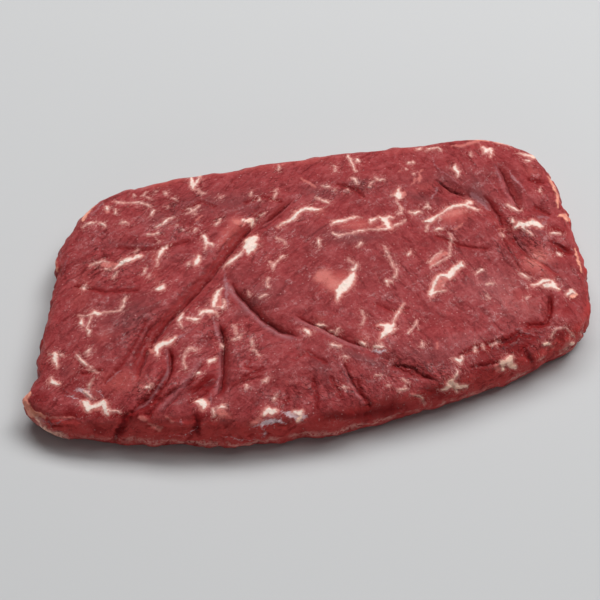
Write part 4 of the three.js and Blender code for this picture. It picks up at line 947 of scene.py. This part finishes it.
def make_maps(nodes, spot, settings):
    """The masks and noises of the material, by name."""
    maps = {name: nodes.field(name) for name in ("right", "crinkled", "side", "hidden")}
    for name, (size, turn, shift, *look) in PATTERNS.items():
        maps[name] = nodes.noise(nodes.lay(spot, size, turn, shift), 1.0, *look)
    maps["mottle"] = nodes.noise(spot, 0.28, 3.0, 0.6, 0.4)
    maps["wetness"] = nodes.noise(spot, 0.35, 2.0)
    maps["streak"] = nodes.blend(maps["left_streak"], maps["right_streak"], maps["right"])
    maps["crumple"] = nodes.blend(0.5, maps["crumple"], maps["crinkled"])
    maps["wander"] = nodes.offset(nodes.blend(maps["cloudy"], maps["streak"], 0.5), 0.5, 1.0)
    ragged = nodes.sum(
        nodes.offset(nodes.noise(spot, 0.8, 4.0, 0.7), 0.5, 1.8), nodes.offset(maps["grain"], 0.5, 0.8),
    )
    maps["ragged"] = ragged

    for name, (size, left, right, width) in RIDGES.items():
        lines = [nodes.ridge(nodes.lay(spot, size, *way), width) for way in (left, right)]
        maps[name] = nodes.blend(*lines, maps["right"])
    creased = nodes.sum(nodes.product(nodes.step(maps["patchy"], 0.5, 0.62), 0.5), maps["crinkled"])
    maps["crease"] = nodes.product(maps["crease"], creased)
    maps["branch"] = nodes.product(maps["thread"], nodes.step(nodes.field("fat"), -4.0, -0.8))
    maps["thread"] = nodes.product(maps["thread"], nodes.step(maps["patchy"], 0.54, 0.42))
    maps["thread"] = nodes.product(maps["thread"], nodes.step(maps["cloudy"], 0.49, 0.62))
    # Painted glints: tiny pale spots scattered over the lean
    cells = nodes.add("ShaderNodeTexVoronoi", {"Vector": spot, "Scale": 0.42, "Randomness": 1.0})
    chance = nodes.add("ShaderNodeSeparateColor", {"Color": cells.outputs["Color"]}).outputs["Red"]
    painted_glint = nodes.step(cells.outputs["Distance"], 0.18, 0.08)
    maps["painted_glint"] = nodes.product(painted_glint, nodes.step(chance, 0.6, 0.66))

    fleck = nodes.math("MAXIMUM", maps["long_fleck"], maps["short_fleck"])
    fleck = nodes.offset(fleck, settings.fleck_level, 24.0)
    glow = nodes.sum(nodes.field("glow"), nodes.product(nodes.step(fleck, -1.3, 0.4), maps["hidden"]))
    maps["glow"] = nodes.step(nodes.sum(glow, nodes.product(ragged, 0.15)), 0.3, 1.0)
    fat_depth = nodes.blend(nodes.field("fat"), fleck, maps["hidden"])
    maps["fat_depth"] = nodes.sum(fat_depth, nodes.product(ragged, 0.85))
    maps["fat"] = nodes.step(maps["fat_depth"], -0.12, 0.42)
    foot = nodes.product(nodes.field("foot"), nodes.step(maps["patchy"], 0.4, 0.5))
    maps["foot"] = nodes.product(foot, nodes.step(maps["grain"], 0.38, 0.52))
    maps["wisp"] = nodes.offset(maps["wisp"], 0.5, 3.0)
    return maps


def frayed(nodes, name, noise_map, amount):
    """A field with its edge moved by a noise."""
    return nodes.sum(nodes.field(name), nodes.product(noise_map, amount))


def paint_lean(nodes, maps, settings):
    """The lean with its folds, seams and threads, and the light and shade painted on its walls, creases,
    cracks and pockets.
    """
    paint = Paint(nodes, settings, "deep_lean")
    for tone, name, low, high, strength in LEAN_TONES:
        paint.add(tone, nodes.step(maps[name], low, high), strength)
    # Painted light: walls facing the camera are painted a brighter red to make up for their shade, hidden
    # walls less
    paint.add("side", nodes.product(maps["side"], nodes.step(maps["hidden"], 0.0, 1.0, 0.7, 0.2)))
    paint.add("rosy", nodes.field("slope"), 0.15)
    # Painted light on the upper part of the walls that face the camera
    paint.add("side", nodes.field("ledge"), 0.35)
    paint.add("bloody", nodes.product(maps["side"], nodes.step(maps["cloudy"], 0.48, 0.3, 0.0, 0.8)))
    paint.add("rosy", nodes.step(frayed(nodes, "rosy", maps["wander"], 0.8), 0.0, 1.1), 0.7)
    paint.add("salmon", nodes.step(frayed(nodes, "blush", maps["ragged"], 0.35), 0.2, 0.9), 0.85)
    # Dull tone and painted shade
    paint.add("dusky", nodes.field("dusky"), 0.7)
    paint.add("bloody", nodes.step(nodes.field("bloody"), 0.0, 1.1), 0.95)
    # Painted shade: the deepest pockets are painted nearly black
    paint.add("crack", nodes.step(nodes.field("bloody"), 1.1, 2.4), 0.6)
    # Painted shade on the seam walls, over their deep red
    paint.add("bloody", nodes.field("seam_wall"), 0.85)
    # Painted shade in the creases
    paint.add("crack", maps["crease"], 0.72)
    # Painted shade in the cracks of the seams
    paint.add("crack", nodes.field("crack"), 0.8)
    # Folds: deep red with painted shade along them
    fold = frayed(nodes, "fold", maps["ragged"], 1.1)
    paint.add("bloody", nodes.step(fold, -1.6, 0.2), 0.75)
    paint.add("crack", nodes.step(fold, -0.2, 0.6), 0.5)
    paint.add("thread", maps["thread"], 0.6)
    paint.add("fat_edge", maps["branch"], 0.75)
    return paint


def paint_films(nodes, maps, paint):
    """Film, silvery film, orange tissue and pink fat over the lean."""
    paint.add("rosy", maps["glow"], 0.85)
    paint.add("fat_edge", maps["foot"], 0.75)
    veil = nodes.sum(frayed(nodes, "veil", maps["ragged"], 0.5), maps["wisp"])
    paint.add("film", nodes.step(veil, 0.0, 1.1), 0.65)
    paint.add("film", nodes.field("seam_film"), 0.6)
    paint.add("silver", nodes.step(frayed(nodes, "silver", maps["wisp"], 1.5), 0.0, 1.4), 0.85)
    orange = nodes.step(frayed(nodes, "orange", maps["ragged"], 0.6), -0.5, 0.6)
    paint.add("orange", nodes.product(orange, nodes.step(maps["cloudy"], 0.36, 0.6, 0.6, 0.95)))
    paint.add("salmon", nodes.step(frayed(nodes, "salmon", maps["ragged"], 0.9), -0.6, 0.7), 0.8)
    # Painted glints, in the colour of the threads
    paint.add("thread", maps["painted_glint"], 0.55)
    paint.add("fat_edge", nodes.step(maps["fat_depth"], -1.1, 0.0), 0.45)


def paint_fat(nodes, maps, settings):
    """Cream fat, thinner and pinker at its edges and on the slopes, where it is painted warmer and brighter
    as light that makes up for their shade.
    """
    paint = Paint(nodes, settings, "fat_edge")
    paint.add("fat", nodes.step(maps["fat_depth"], 0.0, 0.9))
    paint.add("fat_edge", nodes.step(maps["streak"], 0.55, 0.7), 0.4)
    # Painted light on the fat of the slopes
    paint.add("painted_light_slope_fat", nodes.field("slope"))
    return paint


def make_meat(settings):
    """Wet raw muscle with fat, film, dark seams, painted shade and painted glints, read from the mesh's
    fields and from noise.
    """
    material = bpy.data.materials.new("meat")
    material.use_nodes = True
    tree = material.node_tree
    nodes = Nodes(tree)
    shader = tree.nodes["Principled BSDF"]
    coords = nodes.add("ShaderNodeTexCoord").outputs["Object"]
    spot = nodes.add("ShaderNodeVectorMath", {0: coords, 1: (1 / MM,) * 3}, operation="MULTIPLY").outputs[0]
    maps = make_maps(nodes, spot, settings)

    meat = paint_lean(nodes, maps, settings)
    paint_films(nodes, maps, meat)
    fat = paint_fat(nodes, maps, settings)
    nodes.put(shader.inputs["Base Color"], nodes.over(meat.color, fat.color, maps["fat"]))

    wet = nodes.step(maps["wetness"], 0.35, 0.7, 0.34, 0.5)
    nodes.put(shader.inputs["Roughness"], nodes.blend(wet, 0.42, maps["fat"]))
    gloss = nodes.product(nodes.step(maps["cloudy"], 0.48, 0.62), nodes.step(maps["grain"], 0.45, 0.6))
    gloss = nodes.sum(nodes.product(gloss, 0.2), nodes.product(maps["crinkled"], 0.04))
    gloss = nodes.sum(gloss, nodes.product(nodes.field("glossy"), 0.12))
    nodes.put(shader.inputs["Coat Weight"], nodes.sum(gloss, 0.01))
    for name, value in MEAT_CONSTANTS.items():
        shader.inputs[name].default_value = value

    height = 0.0
    for name, share in BUMP_HEIGHTS.items():
        height = nodes.sum(height, nodes.product(maps[name], share))
    bump = nodes.add("ShaderNodeBump", {"Strength": 1.0, "Distance": MM, "Height": height})
    nodes.put(shader.inputs["Normal"], bump.outputs["Normal"])
    return material


def color_property(name, description, default):
    return FloatVectorProperty(name=name, description=description, subtype="COLOR", default=default)


class SteakSettings(bpy.types.PropertyGroup):
    """Sizes and colours of the steak."""

    fat_height: FloatProperty(
        name="Fat height", description="How far fat stands out of the lean, in mm", default=0.2)
    crack_depth: FloatProperty(
        name="Crack depth", description="Depth of the crack in a seam, in mm", default=1.1)
    fleck_level: FloatProperty(
        name="Fleck level", description="Level of noise above which hidden faces carry fat", default=0.7)
    lean: color_property("Lean", "Colour of the muscle", (0.295, 0.038, 0.041))
    deep_lean: color_property("Deep lean", "Darker muscle", (0.18, 0.017, 0.019))
    pale_lean: color_property("Pale lean", "Paler muscle", (0.43, 0.092, 0.094))
    # The walls' muscle, painted brighter as light that makes up for their shade
    side: color_property("Side", "Muscle of the side wall", (0.54, 0.05, 0.046))
    # Also the colour of the painted glints
    thread: color_property("Thread", "Fine pale threads", (0.62, 0.29, 0.28))
    rosy: color_property("Rosy", "Muscle lit through beside fat", (0.5, 0.095, 0.085))
    # Dull brownish mauve, and also the painted shade in creases and valleys
    dusky: color_property("Dusky", "Dull brownish mauve muscle", (0.16, 0.045, 0.048))
    # Deep wet red, and also the painted shade on walls, folds and pockets
    bloody: color_property("Bloody", "Deep wet red of folds and walls", (0.22, 0.012, 0.013))
    # Near black that stands for the shade at the bottom of cracks, creases, folds and pockets
    crack: color_property("Crack", "Bottom of a seam", (0.08, 0.005, 0.007))
    film: color_property("Film", "Pale lilac film", (0.4, 0.17, 0.185))
    silver: color_property("Silver", "Silvery film", (0.67, 0.5, 0.53))
    orange: color_property("Orange", "Thin orange tissue at the rim", (1.0, 0.42, 0.3))
    salmon: color_property("Salmon", "Pink fat", (0.62, 0.18, 0.155))
    fat: color_property("Fat", "Cream fat", (0.87, 0.7, 0.62))
    # Fat on the slopes, painted warmer and brighter as light that makes up for their shade
    painted_light_slope_fat: color_property("Side fat", "Fat on the side wall", (1.0, 0.6, 0.47))
    fat_edge: color_property("Fat edge", "Thin fat at the edge of a fleck", (0.74, 0.36, 0.31))


class StageSettings(bpy.types.PropertyGroup):
    """The floor and the light."""

    floor: color_property("Floor", "Colour of the floor", (0.56, 0.565, 0.57))
    back_power: FloatProperty(
        name="Back power", description="Power of the light behind", default=62.0, unit="POWER")
    top_power: FloatProperty(
        name="Top power", description="Power of the light overhead", default=11.0, unit="POWER")
    front_power: FloatProperty(
        name="Front power", description="Power of the low fill", default=3.4, unit="POWER")
    sky: FloatProperty(name="Sky", description="Strength of the even light from all round", default=0.08)


class STEAK_OT_surface(bpy.types.Operator):
    """Build the steak's fine surface and its finish"""

    bl_idname = "steak.surface"
    bl_label = "Build steak"

    def execute(self, context):
        settings = context.scene.steak
        bm = smooth_cage(make_cage(), CAGE_LEVELS)
        close_underside(bm)
        for margin in REFINE_MARGINS:
            refine(bm, margin)
        fields = dress(bm, settings)
        for face in bm.faces:
            face.smooth = True
        mesh = bpy.data.meshes.new("raw_steak")
        bm.to_mesh(mesh)
        bm.free()
        store_fields(mesh, fields)
        mesh.materials.append(make_meat(settings))
        piece = bpy.data.objects.new("raw_steak", mesh)
        context.scene.collection.objects.link(piece)
        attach(piece, "root")
        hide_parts(NODE)
        return {"FINISHED"}


def aim(obj, place, target):
    obj.location = Vector(place)
    obj.rotation_euler = (Vector(target) - Vector(place)).to_track_quat("-Z", "Y").to_euler()


def add_floor(scene, settings):
    bm = bmesh.new()
    bmesh.ops.create_grid(bm, x_segments=2, y_segments=2, size=FLOOR_HALF)
    mesh = bpy.data.meshes.new("floor")
    bm.to_mesh(mesh)
    bm.free()
    material = bpy.data.materials.new("floor")
    material.use_nodes = True
    shader = material.node_tree.nodes["Principled BSDF"]
    shader.inputs["Base Color"].default_value = color(settings.floor)
    for name, value in FLOOR_CONSTANTS.items():
        shader.inputs[name].default_value = value
    mesh.materials.append(material)
    floor = bpy.data.objects.new("floor", mesh)
    scene.collection.objects.link(floor)


def add_area(scene, name, place, size, power):
    """A soft light that points at the origin."""
    light = bpy.data.lights.new(name, "AREA")
    light.shape = "RECTANGLE"
    light.size, light.size_y = size
    light.energy = power
    obj = bpy.data.objects.new(name, light)
    scene.collection.objects.link(obj)
    aim(obj, place, (0.0, 0.0, 0.0))


class STEAK_OT_stage(bpy.types.Operator):
    """Lay the floor, hang the soft lights and set the camera"""

    bl_idname = "steak.stage"
    bl_label = "Set stage"

    def execute(self, context):
        scene = context.scene
        settings = scene.steak_stage
        add_floor(scene, settings)
        for name, (place, size) in LIGHTS.items():
            add_area(scene, name, place, size, getattr(settings, name + "_power"))
        world = bpy.data.worlds.new("studio")
        world.use_nodes = True
        background = world.node_tree.nodes["Background"]
        background.inputs["Color"].default_value = (1.0, 1.0, 1.0, 1.0)
        background.inputs["Strength"].default_value = settings.sky
        scene.world = world
        scene.view_settings.view_transform = "Standard"

        lens = bpy.data.cameras.new("camera")
        lens.lens = LENS
        camera = bpy.data.objects.new("camera", lens)
        scene.collection.objects.link(camera)
        aim(camera, camera_place() * MM, Vector(LOOK_AT) * MM)
        scene.camera = camera
        return {"FINISHED"}


class STEAK_PT_panel(bpy.types.Panel):
    """The steak's tools, in the sidebar"""

    bl_idname = "STEAK_PT_panel"
    bl_label = "Raw sirloin steak"
    bl_space_type = "VIEW_3D"
    bl_region_type = "UI"
    bl_category = "Steak"

    def draw(self, context):
        for group in (context.scene.steak, context.scene.steak_stage):
            for name in group.__annotations__:
                self.layout.prop(group, name)
        self.layout.operator(STEAK_OT_surface.bl_idname)
        self.layout.operator(STEAK_OT_stage.bl_idname)


CLASSES = (SteakSettings, StageSettings, STEAK_OT_surface, STEAK_OT_stage, STEAK_PT_panel)


def register():
    for cls in CLASSES:
        bpy.utils.register_class(cls)
    bpy.types.Scene.steak = PointerProperty(type=SteakSettings)
    bpy.types.Scene.steak_stage = PointerProperty(type=StageSettings)


def unregister():
    del bpy.types.Scene.steak_stage
    del bpy.types.Scene.steak
    for cls in reversed(CLASSES):
        bpy.utils.unregister_class(cls)


def main():
    register()
    bpy.ops.steak.surface()
    bpy.ops.steak.stage()


if __name__ == "__main__":
    main()
